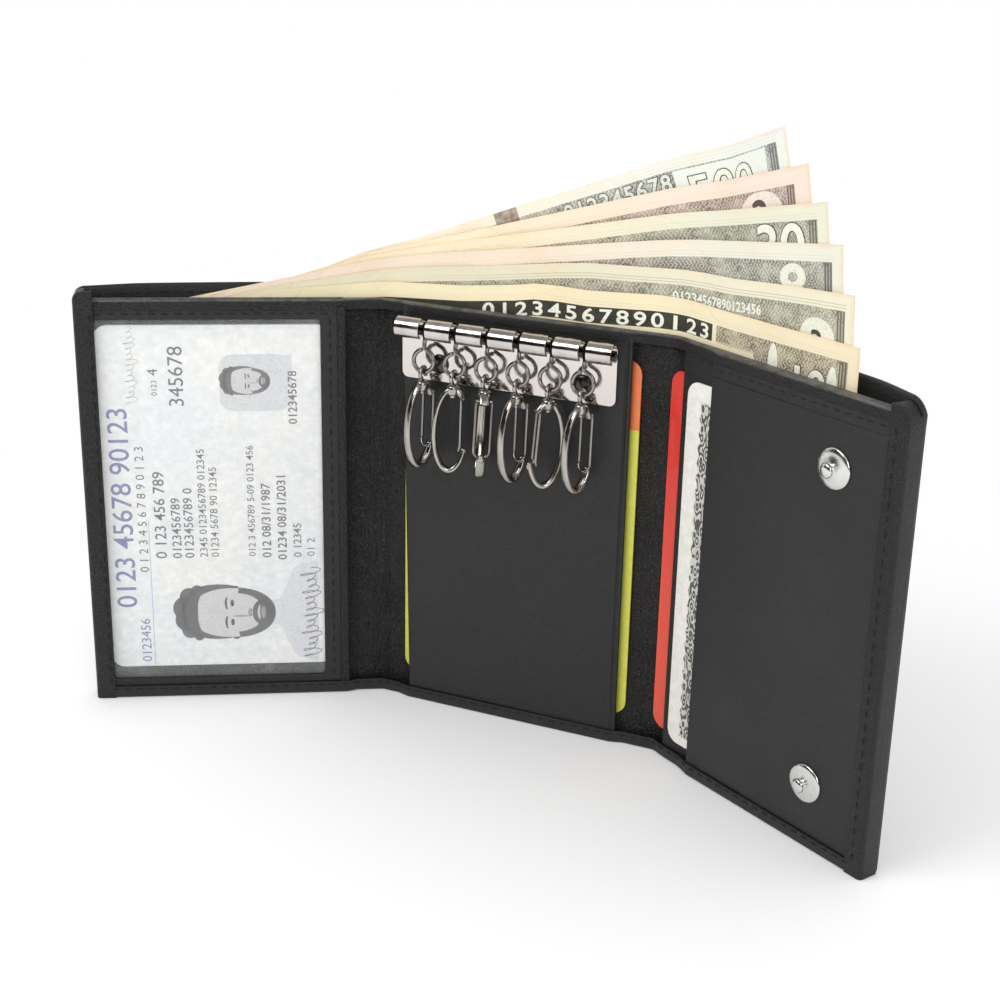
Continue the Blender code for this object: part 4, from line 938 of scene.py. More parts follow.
# Figures on the identity card: place along the reading line, distance from its reading top, height, weight
VIOLET_ROWS = (("0123 45678 90123", 15.6, 6.7, 6.7, 0.03), ("0123456", 1.2, 9.6, 3.3, 0.0))
GREY_ROWS = (
    ("0 1 2 3 4 5 6 7 8 9 0 1 2 3", 24.8, 10.0, 3.0, 0.0), ("0123", 68.8, 13.9, 1.9, 0.0),
    ("4", 73.6, 14.2, 3.5, 0.0), ("0 123 456 789", 28.2, 14.4, 3.8, 0.02), ("345678", 66.0, 19.9, 4.9, 0.0),
    ("0123456789", 28.2, 17.9, 3.1, 0.02), ("0123456789 0", 28.2, 20.8, 3.1, 0.02),
    ("2345 0123456789 012345", 28.4, 24.0, 2.6, 0.01), ("01234 5678 90 12345", 28.4, 26.7, 2.6, 0.01),
    ("012 3 456789 5-09 0123 456", 28.4, 35.4, 2.4, 0.01), ("012 08/31/1987", 28.0, 39.1, 3.0, 0.04),
    ("01234 08/31/2031", 27.4, 42.8, 3.0, 0.04), ("0 12345", 28.0, 46.3, 2.7, 0.02),
    ("01 2", 28.2, 49.5, 2.7, 0.0), ("012345678", 61.6, 45.9, 2.9, 0.03),
    ("01-23456789-0", 31.0, 53.4, 2.5, 0.03),
)


def identity_print():
    """Rows of plain numbers, two faces and two scribbles, in the places where the card is printed."""
    for word, tone, rows in (("violet", (122, 124, 178), VIOLET_ROWS), ("grey", (92, 92, 96), GREY_ROWS)):
        shapes = []
        for text, x, down, size, bold in rows:
            points, faces = glyphs(text, size, bold)
            shapes.append((points + (x, CARD[0] - down), faces))
        on_id_card("identity_figures_" + word, shapes, 0.014, "card_ink_" + word, tone)
    for name, pen, tone in (("large", scribble(1.8, 3.4, 23.0, 4.8, 15, 0.22), (112, 110, 118)),
                            ("small", scribble(67.0, CARD[0] - 9.4, 18.0, 3.0, 14, 0.1), (160, 160, 156))):
        on_id_card(name + "_signature", [pen], 0.02, name + "_pen_ink", tone)
    rule = fan(rectangle(0.5, 38.0, CARD[0] - 10.5, CARD[0] - 10.3))
    on_id_card("identity_rule", [rule], 0.012, "blue_rule", (178, 200, 232))
    ground = fan(rectangle(65.0, 78.6, 9.4, 25.8, 3.0))
    on_id_card("portrait_ground", [ground], 0.008, "portrait_ground", (226, 227, 230))
    portrait("large_portrait", 13.8, CARD[0] - 29.4, 8.0, 1.0)
    portrait("small_portrait", 72.2, CARD[0] - 34.9, 3.85, 0.85)


# Notes from the back one to the front one: place of the top right corner, its rise above the shell, slope
NOTES = (
    (55.9, 44.0, 21.0), (64.5, 38.0, 16.5), (71.5, 31.7, 12.5),
    (77.4, 23.8, 8.5), (82.4, 14.4, 5.0), (85.4, 4.6, 1.5),
)
# Depth of the front note and the step to the next one, and a note's length, width and thickness
FRONT_NOTE_DEPTH, NOTE_PITCH = 0.95, 0.24
NOTE_SIZE, NOTE_PAPER = (156.0, 66.3), 0.1
# Paper, aged paper, ink, top of the engraved band below the note's top edge, and the band's right margin
NOTE_LOOKS = (
    ((234, 236, 226), (248, 234, 210), (84, 88, 84), 2.3, 2.8),
    ((243, 224, 208), (246, 230, 200), (98, 76, 70), 3.3, 4.4),
    ((230, 230, 208), (243, 228, 196), (80, 80, 72), 3.1, 2.8),
    ((233, 232, 214), (240, 222, 202), (68, 64, 64), 3.4, 2.9),
    ((236, 230, 206), (226, 220, 194), (84, 86, 78), 3.2, 2.2),
    ((240, 227, 194), (243, 232, 194), (62, 60, 54), 3.4, 2.7),
)
# How much a note's edge stands above its straight line, at places along the wallet
CRESTS = {
    1: ((-60, 0.0), (-56, -0.5), (-48, -0.5), (-40, 0.0)),
    2: ((-81, -0.9), (-72, -1.1), (-56, -1.5), (-48, -1.0), (-40, -0.6), (-25, 0.0)),
    3: ((-77, -3.5), (-72, -2.8), (-64, -2.2), (-56, -1.8), (-48, -1.2), (-40, -0.8), (-24, 0.0), (20, 0.4),
        (77, 0.7)),
    4: ((-73, -3.6), (-66, -2.3), (-56, -1.6), (-48, -1.2), (-40, -0.6), (-32, 0.1), (-24, 0.6), (-12, 1.0),
        (6, 2.0), (14, 2.2), (30, 1.5), (49, 0.9), (71, 1.3), (84, 1.2)),
    5: ((-70, -3.2), (-64, -2.2), (-56, -1.4), (-42, -0.7), (-30, -0.1), (-16, 0.4), (-4, 1.6), (1.4, 2.4),
        (7, 2.4), (14, 2.0), (30, 2.4), (50, 1.7), (72, 1.6), (88, 1.4)),
}


def note_place(k, along, height, lift=0.0):
    """Places on note k. Its depth follows the mouth's swell, with slow waves and a wider bend that grow
    above the leather."""
    flat_depth = FRONT_NOTE_DEPTH + NOTE_PITCH * (5 - k)
    share = (flat_depth - LINING_BACK) / (SHELL_FRONT - LINING_BACK)
    if k in CRESTS:
        height = height + np.interp(along, *zip(*CRESTS[k])) * smooth_step(height, 84.0, 98.0)
    free = np.clip((height - LINING_TOP) / 12, 0, 1)
    wave = 0.28 * np.sin(along / 8.5 + 1.9 * k) + 0.18 * np.sin(along / 3.9 + height / 9 + 2.7 * k)
    depth = flat_depth + share * bulge(along, height) + 0.55 * free * wave - lift
    return place(along, depth, height, BEND_RADIUS + 18 * free)


def note_spot(k, u, v):
    """Along and height of a place on note k, u back from its right end and v down from its top edge."""
    start, rise, slope = NOTES[k]
    c, s = math.cos(math.radians(slope)), math.sin(math.radians(slope))
    return start - u * c + v * s, SHELL_TOP + rise - u * s - v * c


def note_surface(k, lift):
    """Maps flat points of u and v to places lift in front of note k."""
    def surface(points):
        return note_place(k, *note_spot(k, points[:, 0], points[:, 1]), lift)
    return surface


def cut_at(sheet, axis, places):
    """Cuts a flat sheet wherever its x (axis 0) or its z (axis 1) equals one of the places."""
    normal = Vector((1 - axis, 0, axis))
    for where in places:
        parts = sheet.verts[:] + sheet.edges[:] + sheet.faces[:]
        bmesh.ops.bisect_plane(sheet, geom=parts, dist=1e-5, plane_co=normal * float(where), plane_no=normal)


def note_half(k, side, finish):
    """Half of a note as a thin sheet, cut wherever the wallet bends or bulges."""
    start, rise, slope = NOTES[k]
    length, width = NOTE_SIZE
    sheet = bmesh.new()
    corners = [note_spot(k, u, v) for u, v in ((0, 0), (length, 0), (length, width), (0, width))]
    sheet.faces.new([sheet.verts.new((x, 0.0, z)) for x, z in corners])
    cut_at(sheet, 0, stations(-92.0, 92.0, 2.5))
    cut_at(sheet, 1, [84, 88, 92, 96, 99, *np.arange(SHELL_TOP, 146, 3.5)])
    cut_at(sheet, 0, [0.0])
    away = [f for f in sheet.faces if f.calc_center_median().x * side < 0]
    bmesh.ops.delete(sheet, geom=away, context="FACES")
    sheet.verts.index_update()
    flat = np.array([vert.co[:] for vert in sheet.verts])
    count = len(flat)
    faces = []
    for face in sheet.faces:
        ring = [vert.index for vert in face.verts]
        faces += [ring, [count + i for i in reversed(ring)]]
    for edge in sheet.edges:
        if edge.is_boundary:
            a, b = (vert.index for vert in edge.verts)
            faces.append([a, b, count + b, count + a])
    sheet.free()
    points = np.concatenate([note_place(k, flat[:, 0], flat[:, 2], lift) for lift in (0.0, -NOTE_PAPER)])
    across, down = start - flat[:, 0], SHELL_TOP + rise - flat[:, 2]
    c, s = math.cos(math.radians(slope)), math.sin(math.radians(slope))
    uv = np.stack([across * c + down * s, down * c - across * s], -1)
    made = mesh_object(f"note_{k + 1}_{WORD[side]}", points, faces, finish, np.concatenate([uv, uv]))
    return bend_with(outwards(made), side)


def engraving_group():
    """Engraved print on a note, from x back from its right end and y down from its top edge: border lines,
    a band of fine loops below them and shaded patches in it."""
    tree, g, given, out = node_group("note_engraving", [
        ("Vector", None), ("Band Top", 5.0), ("Band Height", 7.0), ("Margin", 3.0), ("Line Ink", 0.2),
    ], ["Ink", "Wear"])
    at, tall = given["Vector"], given["Band Height"]
    u, v = g.split(at)[:2]
    sway = g.sine(g.plus(g.times(v, 4.6), g.times(g.noise(at, 0.5, 1.0), 5.0)))
    loops = g.sine(g.plus(g.times(u, 7.0), g.times(sway, 2.2)))
    rings = g.sine(g.times(g.cells(g.drawn(at, (0.36, 0.5, 1.0)), 1.0), 24.0))
    fine = g.plus(g.between(loops, -0.3, 0.6), g.times(g.between(rings, -0.2, 0.6), 0.8))
    patches = g.between(g.noise(at, 0.22, 2.0), 0.35, 0.62)
    tone = g.times(g.between(fine, 0.0, 1.7, 0.45, 1.0), g.between(patches, 0.0, 1.0, 0.7, 1.0))
    into = g.minus(u, given["Margin"])
    edge = g.times(g.between(g.sine(g.times(u, 8.0)), -0.6, 0.4, 0.6, 1.0), g.between(into, 2.6, 2.2))
    depth = g.minus(v, given["Band Top"])
    inside = g.times(g.between(depth, 0.0, 0.2), g.between(depth, tall, g.minus(tall, 1.2)),
                     g.between(into, 0.0, 0.2), g.between(u, 132.0, 122.0))
    lines = g.between(g.apart(g.math("ABSOLUTE", g.plus(depth, 0.75)), 0.3), 0.14, 0.06)
    lines = g.times(lines, given["Line Ink"], g.between(into, -0.4, -0.2), g.between(u, 125.0, 70.0))
    g.feed(out["Ink"], g.math("MAXIMUM", g.times(inside, g.math("MAXIMUM", tone, edge)), lines))
    ragged = g.times(g.noise(at, 0.3, 3.0, 0.6), 2.0)
    g.feed(out["Wear"], g.between(g.minus(g.math("MINIMUM", u, v), ragged), 0.2, -1.0))
    return tree


def note_finish(k, engraving):
    """Worn cotton paper: whiter towards its right end, creamier to the left, warm at its worn edges."""
    paper, old, dark, band, margin = NOTE_LOOKS[k]
    made, g, shader = finish_for(f"note_paper_{k + 1}", srgb(*paper), 0.85)
    at = g.sheet()
    u, v = g.split(at)[:2]
    stains = g.noise(at, 0.07, 4.0, 0.6, 0.6)
    deep = 12.0 if k < 5 else g.between(u, 29.0, 24.0, 4.2, 26.0)
    print_on = g.group(engraving, {"Vector": at, "Band Top": band, "Band Height": deep, "Margin": margin,
                                   "Line Ink": 0.34 if k == 4 else 0.1})
    aged = g.mix(g.between(u, 18.0, 95.0), srgb(*paper), srgb(*old))
    aged = g.mix(g.times(g.between(stains, 0.5, 0.78), 0.3), aged, srgb(238, 214, 170))
    warm = g.mix(g.times(print_on["Wear"], g.between(u, 30.0, 0.0, 0.1, 0.34)), aged, srgb(240, 190, 140))
    inked = g.mix(g.times(print_on["Ink"], 0.9), warm, srgb(*dark))
    if k == 0:
        label = g.times(g.between(u, 6.2, 6.4), g.between(v, 2.6, 2.8), g.between(u, 28.8, 28.6))
        inked = g.mix(label, inked, srgb(232, 235, 224))
        patch = g.times(g.between(g.apart(u, 68.4), 3.0, 2.7), g.between(v, 6.2, 5.8),
                        g.between(g.noise(at, 0.8, 3.0), 0.3, 0.7, 0.6, 0.9))
        inked = g.mix(patch, inked, srgb(122, 100, 86))
    if k == 5:
        strip_ink = g.times(g.between(v, 3.5, 3.6), g.between(v, 7.2, 7.1), g.between(u, 40.9, 41.1),
                            g.between(u, 130.0, 129.0))
        blank = g.times(g.between(u, 39.6, 40.0), g.between(v, 3.0, 3.2), g.minus(1.0, strip_ink))
        inked = g.mix(blank, inked, aged)
        inked = g.mix(g.times(strip_ink, 0.93), inked, srgb(34, 32, 26))
    g.feed(shader.inputs["Base Color"], inked)
    crease = g.between(g.apart(g.noise(at, 0.05, 3.0, 0.6, 1.2), 0.5), 0.0, 0.05)
    g.feed(shader.inputs["Normal"], g.bump(g.plus(g.noise(at, 1.4, 4.0, 0.7), crease), 0.05))
    return made


def cut_small(points, faces):
    """Cuts a flat shape into pieces of 1.5 by 3, so that it follows a note round a fold."""
    sheet = bmesh.new()
    corners = [sheet.verts.new((x, 0.0, z)) for x, z in points]
    for face in faces:
        sheet.faces.new([corners[i] for i in face])
    for axis, step in enumerate((1.5, 3.0)):
        cut_at(sheet, axis, np.arange(points[:, axis].min() + step / 2, points[:, axis].max(), step))
    sheet.verts.index_update()
    cut = np.array([(vert.co.x, vert.co.z) for vert in sheet.verts])
    pieces = [[vert.index for vert in face.verts] for face in sheet.faces]
    sheet.free()
    return cut, pieces


def on_note(k, side, name, shapes, lift, ink_name, tone):
    """Print on note k, which bends with it on one side of the wallet's middle."""
    bend_with(printed(name, shapes, note_surface(k, lift), ink(ink_name, tone)), side)


def note_figures(k, name, lines, tones):
    """Plain numbers on a note. Each line is text, u of its left end, v of its baseline, size, weight and
    how wide the figures are drawn. Each tone is a colour and how much bolder it is printed."""
    for step, (tone, extra) in enumerate(tones):
        for side in WORD:
            shapes = []
            for text, u, v, size, bold, wide in lines:
                if (NOTES[k][0] - u > -2) == (side > 0):
                    points, faces = glyphs(text, size, bold + extra)
                    flat = np.stack([u - wide * points[:, 0], v - points[:, 1]], -1)
                    shapes.append(cut_small(flat, faces))
            if shapes:
                end = f"_{step}_{side + 1}"
                on_note(k, side, name + end, shapes, 0.07 + 0.03 * step, f"{name}_ink{end}", tone)


def spaced(figures, u, pitch, *rest):
    """Figures one by one at an even pitch from u on."""
    return [(figure, u - pitch * i, *rest) for i, figure in enumerate(figures)]


PALE, DARK = (240, 240, 224), (62, 62, 58)
OUTLINED = ((DARK, 0.2), (PALE, 0.0))
# Note, name, lines and tones of the printed figures, as note_figures takes them
NOTE_FIGURES = (
    (0, "back_note_number", [("500", 27.0, 12.0, 11.0, 0.08, 1.0)], OUTLINED),
    (0, "back_note_row", spaced("012345678", 55.0, 2.9, 6.4, 5.0, 0.12, 1.0),
     (((74, 78, 74), 0.16), ((226, 229, 216), 0.0))),
    (1, "second_note_number", [("2", 17.0, 12.2, 10.0, 0.15, 1.0)], (((92, 74, 68), 0.0),)),
    (2, "third_note_number", [("30", 20.6, 12.4, 12.6, 0.2, 1.15)], OUTLINED),
    (3, "fourth_note_number", [("8", 17.4, 13.0, 12.6, 0.3, 1.2)], (((236, 234, 218), 0.0),)),
    (4, "fifth_note_row", [("01234567890123456", 50.0, 6.7, 2.9, 0.07, 1.0)], ((PALE, 0.0),)),
    (4, "fifth_note_number", [("3", 11.6, 13.2, 7.6, 0.1, 1.0)], ((DARK, 0.0),)),
    (5, "front_note_row", spaced("01234567890123", 96.8, 4.0, 6.95, 4.3, 0.09, 1.42), ((PALE, 0.0),)),
    (5, "front_note_number", [("10", 18.6, 13.6, 9.6, 0.22, 1.1)], OUTLINED),
)


def notes():
    """The six notes, the ovals under two of their numbers, the numbers, and two leaves on the front one."""
    engraving = engraving_group()
    for k in range(len(NOTES)):
        finish = note_finish(k, engraving)
        for side in WORD:
            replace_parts(note_half(k, side, finish), f"banknote_{k + 1}")
    for k, u, v, wide, tall, tone in (
            (1, 14.2, 9.2, 6.2, 5.6, (240, 226, 212)), (4, 9.6, 10.4, 4.9, 5.0, (234, 234, 214))):
        name = f"note_{k + 1}_number_ground"
        on_note(k, 1, name, [cut_small(*fan(oval((u, v), wide, tall, 2.3)))], 0.05, name, tone)
    for figures in NOTE_FIGURES:
        note_figures(*figures)
    leaves = [cut_small(*fan(oval(centre, 1.4, 4.3, 1.9))) for centre in ((22.9, 8.0), (6.6, 9.4))]
    on_note(5, 1, "front_note_leaves", leaves, 0.06, "note_leaf_ink", PALE)


def path_points(path):
    """A smooth path through points by Catmull-Rom curves, at even steps of about 0.12."""
    path = np.asarray(path, float)
    padded = np.concatenate([[2 * path[0] - path[1]], path, [2 * path[-1] - path[-2]]])
    t = np.linspace(0, 1, 9)[:-1, None]
    pieces = []
    for a, b, c, d in zip(padded, padded[1:], padded[2:], padded[3:]):
        pieces.append(0.5 * (2 * b + (c - a) * t + (2 * a - 5 * b + 4 * c - d) * t**2
                             + (3 * b - a - 3 * c + d) * t**3))
    fine = np.concatenate(pieces + [path[-1:]])
    lengths = np.r_[0, np.cumsum(np.linalg.norm(np.diff(fine, axis=0), axis=1))]
    even = np.linspace(0, lengths[-1], max(3, int(lengths[-1] / 0.12)))
    return np.stack([np.interp(even, lengths, fine[:, i]) for i in range(3)], -1)


def wire(path, radius, flat=1.0, axis=(0.0, 1.0, 0.0), tip=0.3):
    """Rings of a wire along a smooth path. radius is one value or several spread evenly over its length,
    flat stretches the section along axis, and the ends are rounded over tip millimetres."""
    spine = path_points(path)
    shares = np.linspace(0, 1, len(spine))
    size = np.interp(shares, np.linspace(0, 1, np.size(radius)), np.atleast_1d(radius))
    ahead = np.gradient(spine, axis=0)
    ahead /= np.linalg.norm(ahead, axis=1)[:, None]
    across = np.asarray(axis, float) - ahead * (ahead @ np.asarray(axis, float))[:, None]
    across /= np.linalg.norm(across, axis=1)[:, None]
    other = np.cross(ahead, across)
    length = np.r_[0, np.cumsum(np.linalg.norm(np.diff(spine, axis=0), axis=1))]
    near = np.minimum(length, length[-1] - length)
    size = size * np.sqrt(np.clip(1 - (1 - np.clip(near / tip, 0, 1)) ** 2, 0.02, 1))
    turn = np.linspace(0, math.tau, WIRE_SIDES + 1)[:-1]
    c, s = np.cos(turn), np.sin(turn)
    power = 0.75 if flat > 1.2 else 1.0
    c, s = np.sign(c) * np.abs(c) ** power, np.sign(s) * np.abs(s) ** power
    ring = across[:, None, :] * (flat * c)[:, None] + other[:, None, :] * s[:, None]
    return spine[:, None, :] + ring * size[:, None, None]


def turned(profile, sides):
    """Rings of a body of revolution about Y, from (radius, y) pairs."""
    profile = np.asarray(profile, float)
    turn = np.linspace(0, math.tau, sides + 1)[:-1]
    return np.stack([profile[:, :1] * np.cos(turn), np.repeat(profile[:, 1:], sides, 1),
                     profile[:, :1] * np.sin(turn)], -1)


def moved(rings, matrix):
    """Rings in millimetres through a matrix whose translation is in millimetres."""
    matrix = np.array(matrix)
    return rings @ matrix[:3, :3].T + matrix[:3, 3]


# Key bar and hooks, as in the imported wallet
BAR_ENDS = (-29.5, 22.9)
BAR_Y, BAR_HEIGHT, TUBE_RADIUS, TUBE_SHEET = -8.11, 94.4, 2.5, 0.5
PLATE_FRONT, PLATE_SHEET, PLATE_DROP, PLATE_CORNER = -2.61, 0.5, 12.4, 1.6
RIVET_DROP, RIVET_RADIUS, RIVET_RISE = 8.2, 2.3, 0.85
RIVETS_X = {"left": -19.9, "right": 15.1}
ROD_RADIUS, ROD_MARGIN = 0.5, 1.0
HOOKS_X = -3.2 + 7.76 * (np.arange(6) - 2.5)
HOOK_TURNS = (66.0, 24.0, -62.0, 66.0, 214.0, 62.0)
HOOK_TILT = 6.5
SLOT = 1.6
WIRE_SIDES = 14
RING_DROP, RING_HALF = 7.15, (2.5, 2.55)
RING_BOTTOM = RING_DROP + RING_HALF[1]
BOSS_DROP, BODY_DROP, BODY_HALF = 12.0, 22.0, (3.75, 9.4)
GATE_PIVOT, GATE_HALF, GATE_FOOT = -32.0, 1.8, (2.3, 25.2)


def metal_finish(name, light, rough, streak_axis, dark=0.82):
    """Polished plating with faint rubbed streaks and dull smudges."""
    made, g, shader = finish_for(name, light, rough, 1.0)
    at = g.body()
    scale = [3.0, 3.0, 3.0]
    scale[streak_axis] = 0.25
    streaks = g.noise(g.drawn(at, scale), 1.0, 3.0, 0.6)
    smudge = g.noise(at, 0.25, 3.0, 0.6)
    g.feed_all(shader, {
        "Roughness": g.plus(g.between(smudge, 0.4, 0.7, 0.0, 0.12),
                            g.between(streaks, 0.35, 0.7, rough, rough + 0.05)),
        "Base Color": g.value(light, g.between(smudge, 0.3, 0.7, dark, 1.0)),
        "Normal": g.bump(streaks, 0.008),
    })
    return made


def key_bar():
    """The plate, its rolled tube cut by six slots, the rod inside it and two rivets."""
    plate_metal = metal_finish("polished_nickel_plate", srgb(214, 207, 202), 0.07, 2, 0.94)
    tube_metal = metal_finish("polished_nickel_tube", srgb(214, 208, 204), 0.09, 0)
    # The rivet heads' dark colour is a painted reflection: it stands for the dark surroundings their domes
    # mirror
    rivet_metal = metal_finish("rivet_nickel_painted_dark_reflection", srgb(84, 79, 76), 0.22, 0)
    # The rod's dark colour is painted shade for the inside of the tube, so that the slots read black
    rod_metal = metal_finish("steel_rod_painted_shade", srgb(60, 58, 56), 0.25, 0)
    left, right = BAR_ENDS
    bottom, top = BAR_HEIGHT - PLATE_DROP, BAR_HEIGHT + 1
    outline = rounded_loop([(right, bottom), (right, top), (left, top), (left, bottom)],
                           [PLATE_CORNER, 0.1, 0.1, PLATE_CORNER])
    plate = panel("key_bar_plate", outline, PLATE_FRONT, PLATE_FRONT + PLATE_SHEET, plate_metal, 0.12)
    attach(plate, "middle")
    edges = [left, *[x + s * SLOT / 2 for x in HOOKS_X for s in (-1, 1)], right]
    turn = np.radians(np.linspace(-60, 240, 49))
    for k, (first, last) in enumerate(zip(edges[::2], edges[1::2])):
        rings = []
        for x, cut in ((first, 0.12), (first + 0.1, 0.0), (last - 0.1, 0.0), (last, 0.12)):
            outer, inner = TUBE_RADIUS - cut, TUBE_RADIUS - TUBE_SHEET + cut
            rings.append([(x, BAR_Y - radius * math.cos(t), BAR_HEIGHT + radius * math.sin(t))
                          for radius, turns in ((outer, turn), (inner, turn[::-1])) for t in turns])
        made = swept(f"tube_part_{k + 1}", np.array(rings), tube_metal, angle=35.0)
        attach(made, "middle")
        if k == 0:
            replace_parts(made, "key_plate")
    turn = np.linspace(0, math.tau, 25)[:-1]
    ring = ROD_RADIUS * np.stack([np.zeros(24), np.cos(turn), np.sin(turn)], -1)
    rod = np.array([ring + (x, BAR_Y, BAR_HEIGHT) for x in (left + ROD_MARGIN, right - ROD_MARGIN)])
    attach(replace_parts(swept("tube_rod", rod, rod_metal), "key_rod"), "middle")
    t = np.linspace(0, math.pi / 2, 9)[:-1]
    head = [(0.02, 0.3), (1.2, 0.3), (RIVET_RADIUS, 0.3),
            *zip(RIVET_RADIUS * np.cos(t), -RIVET_RISE * np.sin(t)), (0.02, -RIVET_RISE)]
    for word, x in RIVETS_X.items():
        rings = turned(head, 40) + (x, LINING_Y + PLATE_FRONT, BAR_HEIGHT - RIVET_DROP)
        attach(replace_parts(swept("rivet_head_" + word, rings, rivet_metal), "plate_rivet_" + word), "middle")


def body_point(degrees):
    """X and Z of a place on the hook's oval, from the swivel eye's seat."""
    angle = math.radians(degrees)
    return -BODY_HALF[0] * math.sin(angle), BOSS_DROP - BODY_DROP + BODY_HALF[1] * math.cos(angle)


def hook_forms():
    """The four pieces of a hook as rings in their own frames, each with whether it closes on itself: link,
    swivel eye, body with boss and nose, and gate."""
    def loop(radius, centre):
        t = np.radians(np.linspace(-40, 235, 12))
        return [(0.0, radius * math.cos(a), centre + radius * math.sin(a)) for a in t]

    def on_oval(degrees):
        return [(x, 0.0, z) for x, z in map(body_point, degrees)]

    t = np.radians(np.linspace(22, 350, 20))
    ring = [(RING_HALF[0] * math.sin(a), 0.0, RING_HALF[1] * math.cos(a) - RING_DROP) for a in t]
    rise = RING_HALF[1] / math.cos(math.radians(22)) - RING_DROP
    link = loop(1.15, 0.0) + [(0.0, 0.0, -1.9), (0.0, 0.0, rise + 0.35)] + ring
    eye = loop(1.35, -0.25) + [(0.0, 0.0, -2.3), (0.0, 0.0, -3.6), (0.0, 0.0, RING_BOTTOM - 14.0)]
    head = [(0.02, 0.0), (0.8, 0.0), (0.8, -0.45), (0.6, -0.62), (0.02, -0.66)]
    head = turned(head, 20)[:, :, [0, 2, 1]] + (0.0, 0.0, RING_BOTTOM - 14.1)
    thickness = (1.15, 0.95, 0.85, 0.85, 0.9, 1.0, 1.05, 0.85)
    shares = np.interp(np.linspace(0, 1, 30), np.linspace(0, 1, len(thickness)), thickness)
    boss = [(0.62, 0.25), (1.15, 0.2), (1.45, -0.1), (1.5, -0.5), (1.5, -1.5), (1.3, -1.85), (0.62, -1.9)]
    pivot = body_point(GATE_PIVOT)
    foot, foot_side = BOSS_DROP - GATE_FOOT[1] - pivot[1], GATE_FOOT[0] - pivot[0]
    t = np.linspace(0, math.pi, 9)[1:-1]
    arc = [(foot_side - 0.45 * math.sin(a), GATE_HALF * math.cos(a), foot - GATE_HALF * math.sin(a))
           for a in t]
    half = [(0.0, 0.5, 0.0), (0.0, 1.4, 0.0), (0.0, 1.78, -0.4),
            *((share * foot_side, GATE_HALF, share * foot) for share in (0.35, 0.7, 1.0))]
    gate = half + arc + [(x, -y, z) for x, y, z in half[::-1]]
    return {
        "link": [(wire(link, 0.5, axis=(0.3, 0.6, 0.2)), False)],
        "eye": [(wire(eye, 0.48, axis=(1.0, 0.0, 0.0)), False), (head, False)],
        "body": [(wire(on_oval(np.linspace(-42, 240, 30)), 0.68 * shares, 1.7), False),
                 (turned(boss, 28)[:, :, [0, 2, 1]], True),
                 (wire(on_oval((231, 238, 245)), 0.85, tip=0.8), False)],
        "gate": [(wire(gate, 0.33, axis=(1.0, 0.0, 0.2)), False)],
    }


def hooks():
    """Six hooks on the rod. Their links and gates are of a darker wire, with painted shade that turns them
    almost black inside the tube.
    """
    forms = hook_forms()
    pivot = body_point(GATE_PIVOT)
    bright = metal_finish("hook_nickel", srgb(182, 177, 171), 0.1, 2)
    darker = metal_finish("hook_wire_nickel_painted_tube_shade", srgb(158, 153, 149), 0.12, 2)
    g, shader = graph_of(darker)
    y, z = g.split(g.body())[1:3]
    reach = g.node("CombineXYZ", {"Y": g.minus(y, BAR_Y), "Z": g.minus(z, BAR_HEIGHT)}).outputs[0]
    # painted shade: the wire's colour goes almost black within the tube, from 2.7 to 2.1 mm off its axis
    lay_colour(g, shader, g.between(g.length(reach), 2.7, 2.1), srgb(30, 28, 27))
    finishes = {"link": darker, "eye": bright, "body": bright, "gate": darker}
    for k, (x, turn) in enumerate(zip(HOOKS_X, HOOK_TURNS)):
        link = Matrix.Translation((x, BAR_Y, BAR_HEIGHT)) @ Matrix.Rotation(math.radians(-HOOK_TILT), 4, "X")
        eye = link @ Matrix.Translation((0, 0, -RING_BOTTOM))
        seat = Matrix.Translation((0, 0, RING_BOTTOM - BOSS_DROP))
        body = eye @ seat @ Matrix.Rotation(math.radians(turn), 4, "Z")
        gate = body @ Matrix.Translation((pivot[0], 0, pivot[1]))
        for kind, matrix in (("link", link), ("eye", eye), ("body", body), ("gate", gate)):
            node = f"hook_{kind}_{k + 1}"
            for i, (rings, ring) in enumerate(forms[kind]):
                made = swept(f"{kind}_{k + 1}_{i}", moved(rings, matrix), finishes[kind], ring=ring)
                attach(made, node)
                if i == 0:
                    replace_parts(made, node)


# Distances of the snaps from their fold lines, and their heights
STUD_RUN, SOCKET_RUN = 49.2, 22.4
SNAP_HEIGHTS = {"upper": 84.0, "lower": 14.5}


def snaps():
    """Studs on the pocket, and sockets with their eyelets on the left leaf's back leather."""
    metal = metal_finish("snap_nickel", srgb(222, 221, 218), 0.16, 2, 0.92)
    stud = [(0.02, -2.6), (3.9, -2.6), (4.3, -2.72), (4.3, -2.9), (4.0, -3.12), (3.2, -3.3), (2.7, -3.34),
            (2.2, -3.5), (1.4, -3.68), (1.05, -3.85), (1.0, -4.0), (1.3, -4.25), (1.55, -4.65), (1.55, -5.0),
            (1.3, -5.3), (0.7, -5.48), (0.02, -5.52)]
    socket = [(0.02, 4.15), (4.1, 4.15), (4.4, 4.4), (4.4, 5.2), (4.0, 5.8), (3.2, 5.95), (2.5, 5.9),
              (2.25, 5.5), (2.2, 4.9), (0.02, 4.9)]
    eyelet = [(0.02, 2.55), (1.9, 2.5), (3.4, 2.5), (3.7, 2.62), (3.6, 2.82), (0.02, 2.85)]
    kinds = (("stud", 1, STUD_RUN, stud), ("socket", -1, SOCKET_RUN, socket),
             ("eyelet", -1, SOCKET_RUN, eyelet))
    for word, height in SNAP_HEIGHTS.items():
        for kind, side, run, profile in kinds:
            turn = Matrix.Rotation(-side * REST[side], 4, "Z")
            rings = moved(turned(profile, 40), turn) + place(side * (HALF_MIDDLE + run), 0.0, height)
            node = f"snap_{kind}_{word}"
            on_leaf(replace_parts(swept(node + "_cap", rings, metal, angle=60.0), node), side)


